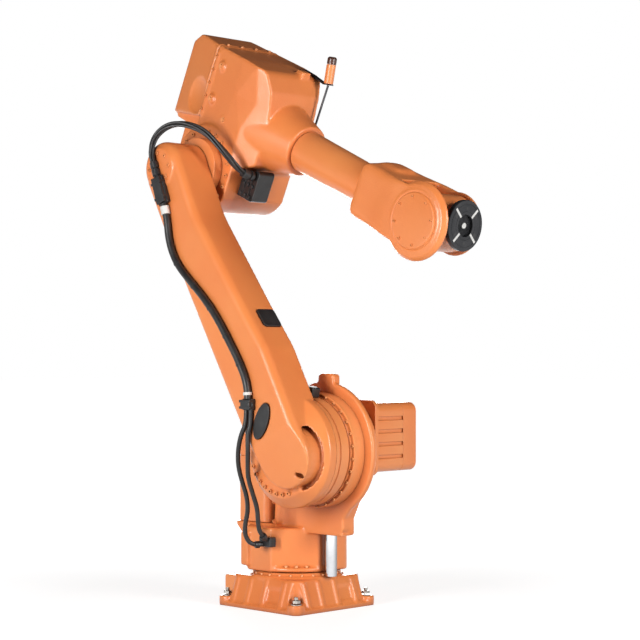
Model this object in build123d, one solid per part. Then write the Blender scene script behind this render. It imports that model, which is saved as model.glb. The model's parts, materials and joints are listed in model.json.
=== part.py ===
from build123d import *
import os
from math import atan2, cos, degrees, hypot, radians, sin, sqrt, tan

# Six-axis industrial robot arm, floor standing. Millimetres.
# Frame: origin on the floor under the turning axis, +X forward, +Y to the robot's left, +Z up.
# Right means the -Y side, which carries the lower arm. Left means the +Y side, with the motor.

# Linkage of the arm
shoulder_height = 495.0
shoulder_offset = 175.0
lower_arm_length = 1000.0
elbow_offset = 175.0
forearm_length = 880.0
wrist_to_flange = 110.0

# Stored pose in degrees, a positive angle turns the piece's far end down
lower_arm_tilt = -28.0
forearm_pitch = 24.8
flange_pitch = 7.8

# Clearances
running_gap = 0.6
seat_gap = 0.3
side_gap = 6.0

# Base casting
base_height = 98.0
base_foot_half = 174.0
base_draft = 18.0
base_corner = 58.0
foot_thickness = 30.0
foot_reach = 216.0
foot_radius = 26.0
foot_hole_radius = 9.0
foot_pocket_radius = 24.0
turntable_radius = 132.0
turntable_rise = 16.0

# Cable entry box behind the base
entry_depth = 60.0
entry_width = 190.0
entry_low = 18.0
entry_rise = 66.0
entry_round = 8.0

# Turret casting
neck_rear = 118.0
neck_front = 127.0
neck_right = 134.0
neck_left = 112.0
neck_front_cut = 106.0
neck_rear_cut = 36.0
neck_corner = 30.0
neck_edge = 10.0
neck_below_shoulder = 245.0
deck_below_shoulder = 237.0
deck_rim = 12.0
deck_depth = 66.0
deck_right = 88.0
deck_left = 60.0
deck_round = 6.0
disc_radius = 206.0
disc_right = 60.0
disc_rim = 16.0
pot_radius = 134.0
pot_left = 26.0
bell_radius = 108.0
bell_left = 62.0
motor_ring_radius = 100.0
motor_ring_left = 92.0
plate_rear = 42.0
plate_left = 8.0
lobe_front = 258.0
lobe_below_shoulder = 259.0
lobe_height = 54.0
lobe_angle = 22.0
lobe_round = 12.0
plate_overlap = 8.0
lug_width = 66.0
lug_from_shoulder = 10.0
lug_rise = 25.0
lug_thickness = 30.0
lug_corner = 12.0
ear_reach = 164.0
ear_rise = 156.0
ear_radius = 44.0
ear_hole_radius = 15.0
ear_thickness = 26.0

# Stop pin in front of the turret
stop_pin_radius = 19.0
stop_pin_right = 8.0
stop_pin_clearance = 6.0

# Shoulder reducer
reducer_radius = 165.0
reducer_length = 112.0
reducer_flange_radius = 174.0
reducer_flange_length = 44.0

# Shoulder motor
motor_back = 20.0
motor_above_shoulder = 31.0
motor_width = 170.0
motor_tall = 214.0
motor_body_length = 124.0
motor_cap_length = 68.0
motor_corner = 28.0
motor_cap_bevel = 8.0
motor_rib_count = 4
motor_rib_width = 12.0
motor_rib_depth = 5.0
motor_flange_margin = 10.0
motor_flange_thickness = 14.0

# Turning motor at the back of the turret
turn_motor_back = 116.0
turn_motor_right = 18.0
turn_motor_side = 132.0
turn_motor_body = 206.0
turn_motor_cap = 72.0
turn_motor_corner = 20.0
turn_cap_bevel = 7.0

# Lower arm, seen in its own frame with the shoulder at zero and Z along the arm
arm_disc_radius = 170.0
arm_disc_rim = 30.0
arm_disc_bevel = 34.0
arm_gap = 34.0
arm_width = 130.0
arm_foot_radius = 97.0
arm_foot_ahead = 38.0
arm_foot_below = 30.0
arm_foot_slope = 34.0
arm_slope_from = 40.0
arm_head_radius = 83.0
arm_head_back = 20.0
arm_back_low = 74.0
arm_back_low_at = 110.0
arm_back_high = 105.0
arm_front_knee = 131.0
arm_front_knee_at = 285.0
arm_front_bend = 104.0
arm_front_bend_at = 440.0
arm_front_high = 51.0
arm_front_high_below_elbow = 210.0
arm_round = 26.0
arm_gentle_bend = 300.0
arm_long_bend = 600.0
arm_knee_bend = 200.0
arm_cut_reach = 400.0

# Plugs that close the core holes of the lower arm
plug_proud = 4.0
plug_depth = 10.0
front_plug_at = 392.0
front_plug_width = 70.0
front_plug_height = 64.0
front_plug_inset = 6.0
oval_plug_x = 24.0
oval_plug_z = 92.0
oval_plug_width = 54.0
oval_plug_length = 116.0
oval_plug_turn = 52.0
inner_plug_x = -14.0
inner_plug_z = 470.0
inner_plug_width = 46.0
inner_plug_length = 90.0
plug_corner = 9.0
low_round_plugs = ((44.0, 262.0, 27.0), (-36.0, 246.0, 13.0))
high_round_plugs = ((2.0, 144.0, 25.0), (-66.0, 162.0, 13.0))

# Elbow housing, seen in its own frame with the elbow at zero and X along the forearm
housing_half = 132.0
hub_radius = 140.0
elbow_reducer_radius = 94.0
hub_front_cut = 129.0
hub_cut_high = 40.0
housing_front = 190.0
housing_front_half = 98.0
housing_shoulder = 108.0
housing_top = 380.0
housing_top_front = 140.0
housing_brow_start = 47.0
housing_brow_drop = 6.0
housing_brow = 172.0
housing_brow_below_top = 62.0
housing_brow_below = 82.0
housing_round = 30.0
housing_edge = 20.0
seam_back = 100.0
seam_near_half = 119.0
neck_root = 130.0
neck_root_radius = 124.0
neck_tip = 292.0
neck_tip_radius = 80.0

# Rear cover of the elbow housing
cover_back_right = 285.0
cover_back_left = 302.0
cover_rear_right = 70.0
cover_rear_left = 124.0
cover_low_rear = 100.0
cover_low_front = 143.0
cover_rear_top = 236.0
cover_top_round = 40.0
cover_back_drop = 60.0
cover_back_round = 50.0
cover_low_round = 6.0
cover_side_round = 24.0
cover_corner_cut = 24.0
cover_corner_round = 10.0
bulge_back = 322.0
bulge_top = 108.0
bulge_low = 45.0
bulge_right = 30.0
bulge_left = 124.0
bulge_belly_round = 80.0
bulge_back_round = 60.0
bulge_edge = 8.0

# Signal lamp on the housing
lamp_x = 196.0
lamp_y = 100.0
lamp_low = 376.0
lamp_radius = 15.0
lamp_body_height = 60.0
lamp_lens_height = 24.0
lamp_lens_bevel = 5.0
lamp_lean = -12.0
lamp_strap_width = 18.0
lamp_strap_thickness = 5.0
lamp_strap_from = 78.0
lamp_strap_bend = 122.0
conduit_radius = 3.5
conduit_foot_x = 216.0
conduit_foot_y = 80.0

# Forearm tube and wrist
tube_root_radius = 66.0
tube_tip_radius = 60.0
fork_length = 277.0
fork_root_half = 86.0
fork_root_width = 92.0
fork_corner = 26.0
fork_widening = 90.0
fork_radius_right = 116.0
fork_radius_left = 94.0
fork_outer = 100.0
fork_inner = 80.0
fork_bevel = 12.0
fork_edge = 16.0
fork_bend = 60.0
wrist_cover_radius = 83.0
wrist_cover_height = 6.0
wrist_cover_bevel = 4.0
tilt_radius = 84.0
tilt_nose_radius = 58.0
flange_radius = 74.0
flange_thickness = 16.0
flange_neck = 8.0
flange_neck_radius = 50.0
flange_bore_radius = 31.5
flange_bore_depth = 8.0
flange_hole_radius = 4.25
flange_hole_depth = 12.0
flange_hole_ring = 50.0
flange_hole_count = 6

# Cable harness, held by two clamps on the outer side of the lower arm
harness_radius = 11.0
strand_radius = 7.0
strand_spread = 10.0
clamp_width = 44.0
clamp_height = 26.0
clamp_round = 8.0
clamp_exit = 40.0
low_clamp_x = 4.0
low_clamp_z = 158.0
low_clamp_turn = 28.0
low_clamp_length = 34.0
high_clamp_x = -38.6
high_clamp_below_elbow = 72.0
high_clamp_turn = 8.0
high_clamp_length = 92.0
connector_x = 22.0
connector_z = 210.0
connector_width = 50.0
connector_height = 30.0
connector_depth = 26.0
bracket_right = 78.0
bracket_left = 12.0
bracket_depth = 74.0
bracket_low = -36.0
bracket_high = 27.0
bracket_round = 12.0
loop_end_ahead = 50.0
loop_end_up = 44.0
lead_in = 4.0

# Motor leads
lead_radius = 5.5
lead_plug_side = 38.0
lead_plug_depth = 26.0
shoulder_plug_below = 12.0
turning_plug_below_top = 40.0

# Positions that follow from the sizes above
elbow_x = shoulder_offset + lower_arm_length * sin(radians(lower_arm_tilt))
elbow_z = shoulder_height + lower_arm_length * cos(radians(lower_arm_tilt))
shoulder_place = Pos(shoulder_offset, 0, shoulder_height) * Rot(0, lower_arm_tilt, 0)
elbow_place = Pos(elbow_x, 0, elbow_z) * Rot(0, forearm_pitch, 0)
wrist_place = (
    elbow_place * Pos(forearm_length, 0, elbow_offset) * Rot(0, flange_pitch - forearm_pitch, 0)
)
arm_inner = -(housing_half + arm_gap)
arm_outer = arm_inner - arm_width
arm_front_high_at = lower_arm_length - arm_front_high_below_elbow
high_clamp_z = lower_arm_length - high_clamp_below_elbow
housing_brow_height = housing_top - housing_brow_below_top
housing_brow_low = housing_brow_height - housing_brow_below
fork_start = forearm_length - fork_length


def drum_z(x, y, radius, low, high):
    """Upright cylinder between two heights."""
    return Pos(x, y, (low + high) / 2) * Cylinder(radius, high - low)


def drum_y(x, z, radius, low, high):
    """Cylinder along Y between two Y values."""
    return Pos(x, (low + high) / 2, z) * Rot(90, 0, 0) * Cylinder(radius, high - low)


def drum_x(y, z, radius, low, high):
    """Cylinder along X between two X values."""
    return Pos((low + high) / 2, y, z) * Rot(0, 90, 0) * Cylinder(radius, high - low)


def cone_y(x, z, radius_low, radius_high, low, high):
    """Cone along Y, its first radius at the low end."""
    cone = Cone(radius_low, radius_high, high - low)
    return Pos(x, (low + high) / 2, z) * Rot(-90, 0, 0) * cone


def cone_x(z, radius_low, radius_high, low, high):
    """Cone along X, its first radius at the low end."""
    return Pos((low + high) / 2, 0, z) * Rot(0, 90, 0) * Cone(radius_low, radius_high, high - low)


def block(x0, x1, y0, y1, z0, z1):
    """Box between two corners."""
    return Pos((x0 + x1) / 2, (y0 + y1) / 2, (z0 + z1) / 2) * Box(x1 - x0, y1 - y0, z1 - z0)


def outline(points):
    """Face from (across, up, corner radius) points."""
    corners = [(across, up) for across, up, _ in points]
    radii = [radius for _, _, radius in points]
    return make_face(FilletPolyline(*corners, radius=radii, close=True))


def side_plate(points, low, high):
    """Side view outline of (x, z, radius) points carried along Y from low to high."""
    return Pos(0, low, 0) * extrude(Plane.XZ * outline(points), amount=low - high)


def floor_plate(points, low, high):
    """Plan outline of (x, y, radius) points carried up from low to high."""
    return Pos(0, 0, low) * extrude(outline(points), amount=high - low)


def tube(points, radius):
    """Round cord through the points, each corner an arc as large as its two runs allow."""
    points = [Vector(*point) for point in points]
    radii = []
    for before, corner, after in zip(points, points[1:], points[2:]):
        shorter = min((corner - before).length, (after - corner).length)
        turn = (corner - before).get_angle(after - corner)
        radii.append(0.45 * shorter / tan(radians(turn) / 2))
    path = FilletPolyline(*points, radius=radii)
    print("cord", round(path.length), "mm, smallest radius", round(min(radii)), "mm")
    return sweep(Plane(path @ 0, z_dir=path % 0) * Circle(radius), path=path)


def carry(place, points):
    """Points of a local frame, carried to their place."""
    return [(place * Pos(*point)).position for point in points]


def save(name, shape):
    """One solid goes to its own file."""
    solids = shape.solids()
    assert len(solids) == 1, (name, len(solids))
    shape = solids[0]
    shape.label = name
    export_step(shape, f"parts/{name}.step")


os.makedirs("parts", exist_ok=True)

# Base casting with its four bolted feet
base = extrude(
    RectangleRounded(2 * base_foot_half, 2 * base_foot_half, base_corner),
    amount=base_height,
    taper=base_draft,
)
base_top = base_height + turntable_rise
base += drum_z(0, 0, turntable_radius, 0, base_top)
for turn in (45, 135, 225, 315):
    foot = block(0, foot_reach, -foot_radius, foot_radius, 0, foot_thickness)
    foot += drum_z(foot_reach, 0, foot_radius, 0, foot_thickness)
    base += Rot(0, 0, turn) * foot
    base -= Rot(0, 0, turn) * drum_z(
        foot_reach, 0, foot_pocket_radius, foot_thickness, base_height
    )
    base -= Rot(0, 0, turn) * drum_z(foot_reach, 0, foot_hole_radius, 0, foot_thickness)
save("base_casting", base)

# Cable entry box, its front leaning with the base wall
entry_high = entry_low + entry_rise
entry_lean = tan(radians(base_draft))
entry_front_low = -base_foot_half + entry_lean * entry_low - seat_gap
entry_front_high = -base_foot_half + entry_lean * entry_high - seat_gap
entry = side_plate(
    [
        (entry_front_low, entry_low, 0),
        (entry_front_high, entry_high, 0),
        (entry_front_low - entry_depth, entry_high, entry_round),
        (entry_front_low - entry_depth, entry_low, entry_round),
    ],
    -entry_width / 2,
    entry_width / 2,
)
save("cable_entry_box", entry)

# Turret
turret_floor = base_top + running_gap
neck_top = shoulder_height - neck_below_shoulder
deck_top = shoulder_height - deck_below_shoulder
lobe_low = shoulder_height - lobe_below_shoulder
lobe_high = lobe_low + lobe_height
turret = floor_plate(
    [
        (-neck_rear, neck_left, neck_corner),
        (-neck_rear, neck_rear_cut - neck_right, neck_edge),
        (neck_rear_cut - neck_rear, -neck_right, neck_edge),
        (neck_front - neck_front_cut, -neck_right, neck_edge),
        (neck_front, neck_front_cut - neck_right, neck_edge),
        (neck_front, neck_left, neck_corner),
    ],
    turret_floor,
    neck_top,
)
turret += side_plate(
    [
        (0, turret_floor + 1, 0),
        (1 - neck_rear, turret_floor + 1, 0),
        (1 - neck_rear, deck_top - deck_rim - deck_depth, 0),
        (-neck_rear - deck_depth, deck_top - deck_rim, 0),
        (-neck_rear - deck_depth, deck_top, deck_round),
        (0, deck_top, 0),
    ],
    -deck_right,
    deck_left,
)
turret += drum_y(shoulder_offset, shoulder_height, disc_radius, -disc_right, disc_rim - disc_right)
turret += cone_y(
    shoulder_offset, shoulder_height, disc_radius, pot_radius, disc_rim - disc_right, pot_left
)
turret += cone_y(shoulder_offset, shoulder_height, pot_radius, bell_radius, pot_left, bell_left)
motor_x = shoulder_offset - motor_back
motor_z = shoulder_height + motor_above_shoulder
turret += drum_y(motor_x, motor_z, motor_ring_radius, bell_left - 1, motor_ring_left)
lobe_cos = cos(radians(lobe_angle))
lobe_sin = sin(radians(lobe_angle))
inner_radius = disc_radius + (pot_radius - disc_radius) * (disc_right - disc_rim - plate_left) / (
    disc_right - disc_rim + pot_left
)
for reach, right, left in (
    (disc_radius, -disc_right, disc_rim - disc_right),
    (inner_radius, disc_rim - disc_right, -plate_left),
    (pot_radius, -plate_left, pot_left),
):
    lobe_end = lobe_front if left < 0 else neck_front
    turret += side_plate(
        [
            (shoulder_offset - reach, shoulder_height, 0),
            (-plate_rear, neck_top - plate_overlap, 0),
            (-plate_rear, lobe_low if left < 0 else neck_top - plate_overlap - 1, 0),
            (lobe_end, lobe_low if left < 0 else neck_top - plate_overlap - 1, lobe_round),
            (lobe_end, lobe_high, lobe_round),
            (shoulder_offset + reach * lobe_cos, shoulder_height - reach * lobe_sin, 0),
        ],
        right,
        left,
    )
lug_front = shoulder_offset + lug_from_shoulder + lug_width / 2
lug_rear = lug_front - lug_width
turret += side_plate(
    [
        (lug_rear, shoulder_height, 0),
        (lug_front, shoulder_height, 0),
        (lug_front, shoulder_height + disc_radius + lug_rise, lug_corner),
        (lug_rear, shoulder_height + disc_radius + lug_rise, lug_corner),
    ],
    -disc_right,
    lug_thickness - disc_right,
)
ear_x = shoulder_offset - ear_reach
ear_z = shoulder_height + ear_rise
ear = make_hull(
    [
        *(Pos(ear_x, ear_z) * Circle(ear_radius)).edges(),
        *(Pos(shoulder_offset, shoulder_height) * Circle(disc_radius / 2)).edges(),
    ]
)
ear = Pos(0, -disc_right, 0) * extrude(Plane.XZ * ear, amount=-ear_thickness)
turret += ear
turret -= drum_y(ear_x, ear_z, ear_hole_radius, -disc_right - 1, ear_thickness)
save("turret", turret)

# Stop pin under the lobe
stop_pin_x = turntable_radius + stop_pin_clearance + stop_pin_radius
pin_foot = base_height + stop_pin_clearance
pin = drum_z(stop_pin_x, -stop_pin_right, stop_pin_radius, pin_foot, lobe_low - seat_gap)
save("stop_pin", pin)

# Shoulder reducer between turret and lower arm
reducer_left = -disc_right - seat_gap
reducer_right = reducer_left - reducer_length
reducer = drum_y(shoulder_offset, shoulder_height, reducer_radius, reducer_right, reducer_left)
reducer += drum_y(
    shoulder_offset,
    shoulder_height,
    reducer_flange_radius,
    reducer_left - reducer_flange_length,
    reducer_left,
)
save("shoulder_reducer", reducer)

# Shoulder motor: flange plate, ribbed body and end cap
flange_start = motor_ring_left + seat_gap
motor_start = flange_start + motor_flange_thickness + seat_gap
cap_start = motor_start + motor_body_length + seat_gap


def motor_block(margin, corner, low, high):
    """Rounded block in the motor's outline, grown by a margin."""
    face = RectangleRounded(motor_width + 2 * margin, motor_tall + 2 * margin, corner)
    return Pos(motor_x, high, motor_z) * Rot(90, 0, 0) * extrude(face, amount=high - low)


plate = motor_block(
    motor_flange_margin,
    motor_corner,
    flange_start,
    flange_start + motor_flange_thickness,
)
save("shoulder_motor_flange", plate)
motor = motor_block(0, motor_corner, motor_start, motor_start + motor_body_length)
rib_pitch = (motor_tall - 2 * motor_corner) / motor_rib_count
for k in range(motor_rib_count):
    groove_z = motor_z + (k - (motor_rib_count - 1) / 2) * rib_pitch
    for side in (-1, 1):
        wall = motor_x + side * motor_width / 2
        motor -= block(
            wall - motor_rib_depth,
            wall + motor_rib_depth,
            motor_start + motor_rib_width,
            motor_start + motor_body_length + 1,
            groove_z - motor_rib_width / 2,
            groove_z + motor_rib_width / 2,
        )
save("shoulder_motor", motor)
motor_end = cap_start + motor_cap_length
cap = motor_block(0, motor_corner, cap_start, motor_end)
cap = chamfer(cap.faces().sort_by(Axis.Y)[-1].edges(), motor_cap_bevel)
save("shoulder_motor_cap", cap)

# Turning motor standing on the deck
turn_face = RectangleRounded(turn_motor_side, turn_motor_side, turn_motor_corner)
turn_low = deck_top + seat_gap
turn_cap_low = turn_low + turn_motor_body + seat_gap
turn_place = Pos(-turn_motor_back, -turn_motor_right, 0)
turn_motor = turn_place * Pos(0, 0, turn_low) * extrude(turn_face, amount=turn_motor_body)
save("turning_motor", turn_motor)
turn_cap = turn_place * Pos(0, 0, turn_cap_low) * extrude(turn_face, amount=turn_motor_cap)
turn_cap = chamfer(turn_cap.faces().sort_by(Axis.Z)[-1].edges(), turn_cap_bevel)
save("turning_motor_cap", turn_cap)

# Lower arm: one casting from the foot disc to the narrow head
arm_face = outline(
    [
        (arm_foot_ahead - arm_foot_radius, -arm_foot_below, 0),
        (-arm_back_low, arm_back_low_at, arm_gentle_bend),
        (-arm_back_high, arm_front_high_at, arm_long_bend),
        (-arm_back_high, lower_arm_length, 0),
        (arm_head_radius - arm_head_back, lower_arm_length, 0),
        (arm_front_high, arm_front_high_at, arm_gentle_bend),
        (arm_front_bend, arm_front_bend_at, arm_gentle_bend),
        (arm_front_knee, arm_front_knee_at, arm_knee_bend),
        (arm_foot_ahead + arm_foot_radius, -arm_foot_below, 0),
    ]
)
arm_face += Pos(-arm_head_back, lower_arm_length) * Circle(arm_head_radius)
arm_face += Pos(arm_foot_ahead, -arm_foot_below) * Circle(arm_foot_radius)
arm = Pos(0, arm_inner, 0) * extrude(Plane.XZ * arm_face, amount=arm_width)
arm = fillet(arm.faces().sort_by(Axis.Y)[0].edges(), arm_round)
foot_drop = arm_foot_below + arm_foot_radius + arm_slope_from
foot_angle = degrees(atan2(arm_foot_slope, foot_drop))
foot_cut = block(-arm_cut_reach, arm_cut_reach, -arm_width, 0, -arm_cut_reach, 0)
arm -= Pos(0, arm_outer, arm_slope_from) * Rot(foot_angle, 0, 0) * foot_cut
reducer_end = reducer_right - running_gap
arm -= drum_y(0, 0, arm_disc_radius, reducer_end, 0)
arm += drum_y(0, 0, arm_disc_radius, reducer_end - arm_disc_rim, reducer_end)
arm += cone_y(
    0,
    0,
    arm_disc_radius - arm_disc_bevel,
    arm_disc_radius,
    reducer_end - arm_disc_rim - arm_disc_bevel,
    reducer_end - arm_disc_rim,
)

# Plugs, each in its own pocket; local Z of a plug's place points out of the arm
front_lean = degrees(
    atan2(arm_front_knee - arm_front_bend, arm_front_bend_at - arm_front_knee_at)
)
front_plug_x = arm_front_knee - (front_plug_at - arm_front_knee_at) * tan(radians(front_lean))
front_plug_y = arm_inner - front_plug_inset - front_plug_width / 2


def plug_face(kind, width, length, margin):
    """Outline of a plug, or of its pocket with the margin all round."""
    if kind == "square":
        return RectangleRounded(width + 2 * margin, length + 2 * margin, plug_corner + margin)
    if kind == "oval":
        return Ellipse(width / 2 + margin, length / 2 + margin)
    if kind == "slot":
        return Rot(0, 0, 90) * SlotOverall(length + 2 * margin, width + 2 * margin)
    return Circle(width / 2 + margin)


inner_side = Rot(-90, 0, 0)
outer_side = Rot(90, 0, 0)
plugs = {
    "arm_front_plug": (
        Pos(front_plug_x, front_plug_y, front_plug_at) * Rot(0, -front_lean, 0) * Rot(0, 90, 0),
        "square",
        front_plug_height,
        front_plug_width,
    ),
    "arm_oval_plug": (
        Pos(oval_plug_x, arm_outer, oval_plug_z) * Rot(0, oval_plug_turn, 0) * outer_side,
        "oval",
        oval_plug_width,
        oval_plug_length,
    ),
    "arm_inner_plug": (
        Pos(inner_plug_x, arm_inner, inner_plug_z) * inner_side,
        "slot",
        inner_plug_width,
        inner_plug_length,
    ),
}
round_plugs = list(low_round_plugs)
for plug_x, below_elbow, plug_radius in high_round_plugs:
    round_plugs.append((plug_x, lower_arm_length - below_elbow, plug_radius))
for k, (plug_x, plug_z, plug_radius) in enumerate(round_plugs):
    plugs[f"arm_round_plug_{k + 1}"] = (
        Pos(plug_x, arm_inner, plug_z) * inner_side,
        "round",
        2 * plug_radius,
        2 * plug_radius,
    )
for name, (place, kind, width, length) in plugs.items():
    pocket = extrude(plug_face(kind, width, length, seat_gap), amount=plug_depth + plug_proud)
    arm -= place * Pos(0, 0, -plug_depth) * pocket
    plug = extrude(
        plug_face(kind, width, length, 0), amount=plug_depth + plug_proud - seat_gap
    )
    save(name, shoulder_place * place * Pos(0, 0, seat_gap - plug_depth) * plug)
save("lower_arm", shoulder_place * arm)

elbow_reducer = drum_y(
    0, lower_arm_length, elbow_reducer_radius, arm_inner + seat_gap, -housing_half - running_gap
)
save("elbow_reducer", shoulder_place * elbow_reducer)

# Elbow housing
housing = side_plate(
    [
        (-seam_back, -sqrt(hub_radius**2 - seam_back**2), 0),
        (-seam_back, housing_top, 0),
        (housing_brow_start, housing_top, housing_round),
        (housing_top_front, housing_top - housing_brow_drop, housing_round),
        (housing_brow, housing_brow_height, housing_round),
        (housing_front, housing_brow_low, 0),
        (housing_front, neck_tip_radius, housing_edge),
        (hub_front_cut, hub_cut_high, housing_edge),
        (hub_front_cut, 0, 0),
    ],
    -housing_half,
    housing_half,
)
housing &= floor_plate(
    [
        (-seam_back, -seam_near_half, 0),
        (hub_cut_high, -housing_half, 0),
        (housing_shoulder, -housing_half, housing_edge),
        (housing_front, -housing_front_half, 0),
        (housing_front, housing_front_half, 0),
        (housing_shoulder, housing_half, housing_edge),
        (-seam_back, housing_half, 0),
    ],
    -hub_radius,
    housing_top,
)
hub = drum_y(0, 0, hub_radius, -housing_half, housing_half)
hub -= block(
    hub_front_cut, hub_radius + 1, -housing_half - 1, housing_half + 1, -hub_radius, hub_radius
)
housing += hub
housing += cone_x(elbow_offset, neck_root_radius, neck_tip_radius, neck_root, neck_tip)
save("elbow_housing", elbow_place * housing)

# Rear cover: upper box that narrows rearwards, and the bulge low on the left
cover_front = -seam_back - seat_gap
cover = side_plate(
    [
        (cover_front, cover_low_front, 0),
        (-cover_back_right, cover_low_rear, 0),
        (-cover_back_left, cover_low_rear, cover_low_round),
        (-cover_back_left, housing_top - cover_back_drop, cover_back_round),
        (-cover_rear_top, housing_top, cover_top_round),
        (cover_front, housing_top, 0),
    ],
    -housing_half,
    housing_half,
)
cover &= floor_plate(
    [
        (cover_front, -seam_near_half, 0),
        (-cover_back_right, -cover_rear_right, cover_side_round),
        (-cover_back_left, cover_rear_left - cover_corner_cut, cover_corner_round),
        (-cover_back_left, cover_rear_left, cover_corner_round),
        (cover_front, housing_half, 0),
    ],
    0,
    housing_top,
)
bulge = side_plate(
    [
        (0, -hub_radius, 0),
        (-hub_radius, -hub_radius, bulge_belly_round),
        (-bulge_back, -bulge_low, bulge_back_round),
        (-bulge_back, bulge_top, bulge_edge),
        (cover_front, bulge_top, 0),
        (cover_front, cover_low_front, 0),
        (0, cover_low_front, 0),
    ],
    bulge_right,
    bulge_left,
)
cover += bulge
cover -= drum_y(0, 0, hub_radius + seat_gap, -housing_half, housing_half)
cover -= block(cover_front, hub_radius, -housing_half, housing_half, -hub_radius - 1, housing_top)
save("elbow_rear_cover", elbow_place * cover)

# Signal lamp on its bent strap, with the conduit down to the neck
lamp_place = Pos(lamp_x, lamp_y, lamp_low) * Rot(0, lamp_lean, 0)
lamp = drum_z(0, 0, lamp_radius, 0, lamp_body_height)
save("lamp_body", elbow_place * lamp_place * lamp)
lens_low = lamp_body_height + seat_gap
lens = drum_z(0, 0, lamp_radius, lens_low, lens_low + lamp_lens_height)
lens = chamfer(lens.faces().sort_by(Axis.Z)[-1].edges(), lamp_lens_bevel)
save("lamp_lens", elbow_place * lamp_place * lens)
brow_fall = housing_brow_drop / (housing_top_front - housing_brow_start)
strap_from_z = housing_top - brow_fall * (lamp_strap_from - housing_brow_start) + seat_gap
strap_bend_z = housing_top - brow_fall * (lamp_strap_bend - housing_brow_start) + seat_gap
lamp_sole = [(lamp_place * Pos(side * lamp_radius, 0, -seat_gap)).position for side in (-1, 1)]
strap = side_plate(
    [
        (lamp_strap_from, strap_from_z, 0),
        (lamp_strap_bend, strap_bend_z, 0),
        (lamp_sole[0].X, lamp_sole[0].Z - lamp_strap_thickness, 0),
        (lamp_sole[1].X, lamp_sole[1].Z - lamp_strap_thickness, 0),
        (lamp_sole[1].X, lamp_sole[1].Z, 0),
        (lamp_sole[0].X, lamp_sole[0].Z, 0),
        (lamp_strap_bend, strap_bend_z + lamp_strap_thickness, 0),
        (lamp_strap_from, strap_from_z + lamp_strap_thickness, 0),
    ],
    lamp_y - lamp_strap_width / 2,
    lamp_y + lamp_strap_width / 2,
)
save("lamp_strap", elbow_place * strap)
foot_share = (conduit_foot_x - neck_root) / (neck_tip - neck_root)
foot_radius_there = neck_root_radius + (neck_tip_radius - neck_root_radius) * foot_share
conduit_foot_z = elbow_offset + sqrt(foot_radius_there**2 - conduit_foot_y**2)
conduit_foot = Vector(conduit_foot_x, conduit_foot_y, conduit_foot_z)
conduit_head = (lamp_place * Pos(0, 0, -3 * seat_gap - lamp_strap_thickness)).position
conduit_run = conduit_head - conduit_foot
conduit = Plane(conduit_foot, z_dir=conduit_run) * extrude(
    Circle(conduit_radius), amount=conduit_run.length
)
conduit -= cone_x(
    elbow_offset, neck_root_radius + seat_gap, neck_tip_radius + seat_gap, neck_root, neck_tip
)
save("lamp_conduit", elbow_place * conduit)

# Forearm tube
tube_start = neck_tip + running_gap
fork_face = fork_start + seat_gap
forearm = cone_x(elbow_offset, tube_root_radius, tube_tip_radius, tube_start, fork_start)
save("forearm_tube", elbow_place * forearm)

# Wrist fork, cleared for the flange all round the tilt axis
slot_radius = hypot(wrist_to_flange, flange_radius) + side_gap
fork = side_plate(
    [
        (fork_face, elbow_offset - fork_root_half, fork_corner),
        (forearm_length, elbow_offset - fork_root_half, 0),
        (forearm_length, elbow_offset + fork_root_half, 0),
        (fork_face, elbow_offset + fork_root_half, fork_corner),
    ],
    -fork_outer,
    fork_outer,
)
fork &= floor_plate(
    [
        (fork_face, -fork_root_width, fork_edge),
        (fork_face + fork_widening, -fork_root_width, fork_bend),
        (forearm_length - fork_radius_right, -fork_outer, fork_bend),
        (forearm_length, -fork_outer, 0),
        (forearm_length, fork_outer, 0),
        (forearm_length - fork_radius_right, fork_outer, fork_bend),
        (fork_face + fork_widening, fork_root_width, fork_bend),
        (fork_face, fork_root_width, fork_edge),
    ],
    elbow_offset - fork_radius_right,
    elbow_offset + fork_radius_right,
)
for lobe_radius, right, left in (
    (fork_radius_right, -fork_outer, -fork_inner),
    (fork_radius_left, fork_inner, fork_outer),
):
    lobe = drum_y(forearm_length, elbow_offset, lobe_radius, right, left)
    rim = lobe.edges().sort_by(Axis.Y)[0 if right < 0 else -1]
    fork += chamfer(rim, fork_bevel)
fork -= drum_y(forearm_length, elbow_offset, slot_radius, -fork_inner, fork_inner)
fork -= block(
    forearm_length,
    forearm_length + slot_radius,
    -fork_inner,
    fork_inner,
    elbow_offset - slot_radius,
    elbow_offset + slot_radius,
)
save("wrist_fork", elbow_place * fork)

cover_seat = fork_outer + seat_gap
for name, side in (("wrist_cover_left", 1), ("wrist_cover_right", -1)):
    start, end = sorted((side * cover_seat, side * (cover_seat + wrist_cover_height)))
    disc = drum_y(forearm_length, elbow_offset, wrist_cover_radius, start, end)
    rim = disc.faces().sort_by(Axis.Y)[-1 if side == 1 else 0]
    disc = chamfer(rim.edges(), wrist_cover_bevel)
    save(name, elbow_place * disc)

# Tilting wrist between the fork's arms
tilt_half = fork_inner - running_gap
neck_start = wrist_to_flange - flange_thickness - flange_neck
tilt = drum_y(0, 0, tilt_radius, -tilt_half, tilt_half)
tilt += drum_x(0, 0, tilt_nose_radius, 0, neck_start)
save("tilt_housing", wrist_place * tilt)

# Tool flange with its locating bore and bolt circle
flange_back = wrist_to_flange - flange_thickness
flange = drum_x(0, 0, flange_radius, flange_back, wrist_to_flange)
flange += drum_x(0, 0, flange_neck_radius, neck_start + running_gap, flange_back + 1)
flange -= drum_x(0, 0, flange_bore_radius, wrist_to_flange - flange_bore_depth, wrist_to_flange)
for k in range(flange_hole_count):
    flange -= Rot(360 * k / flange_hole_count, 0, 0) * drum_x(
        0,
        flange_hole_ring,
        flange_hole_radius,
        wrist_to_flange - flange_hole_depth,
        wrist_to_flange,
    )
save("tool_flange", wrist_place * flange)

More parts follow.
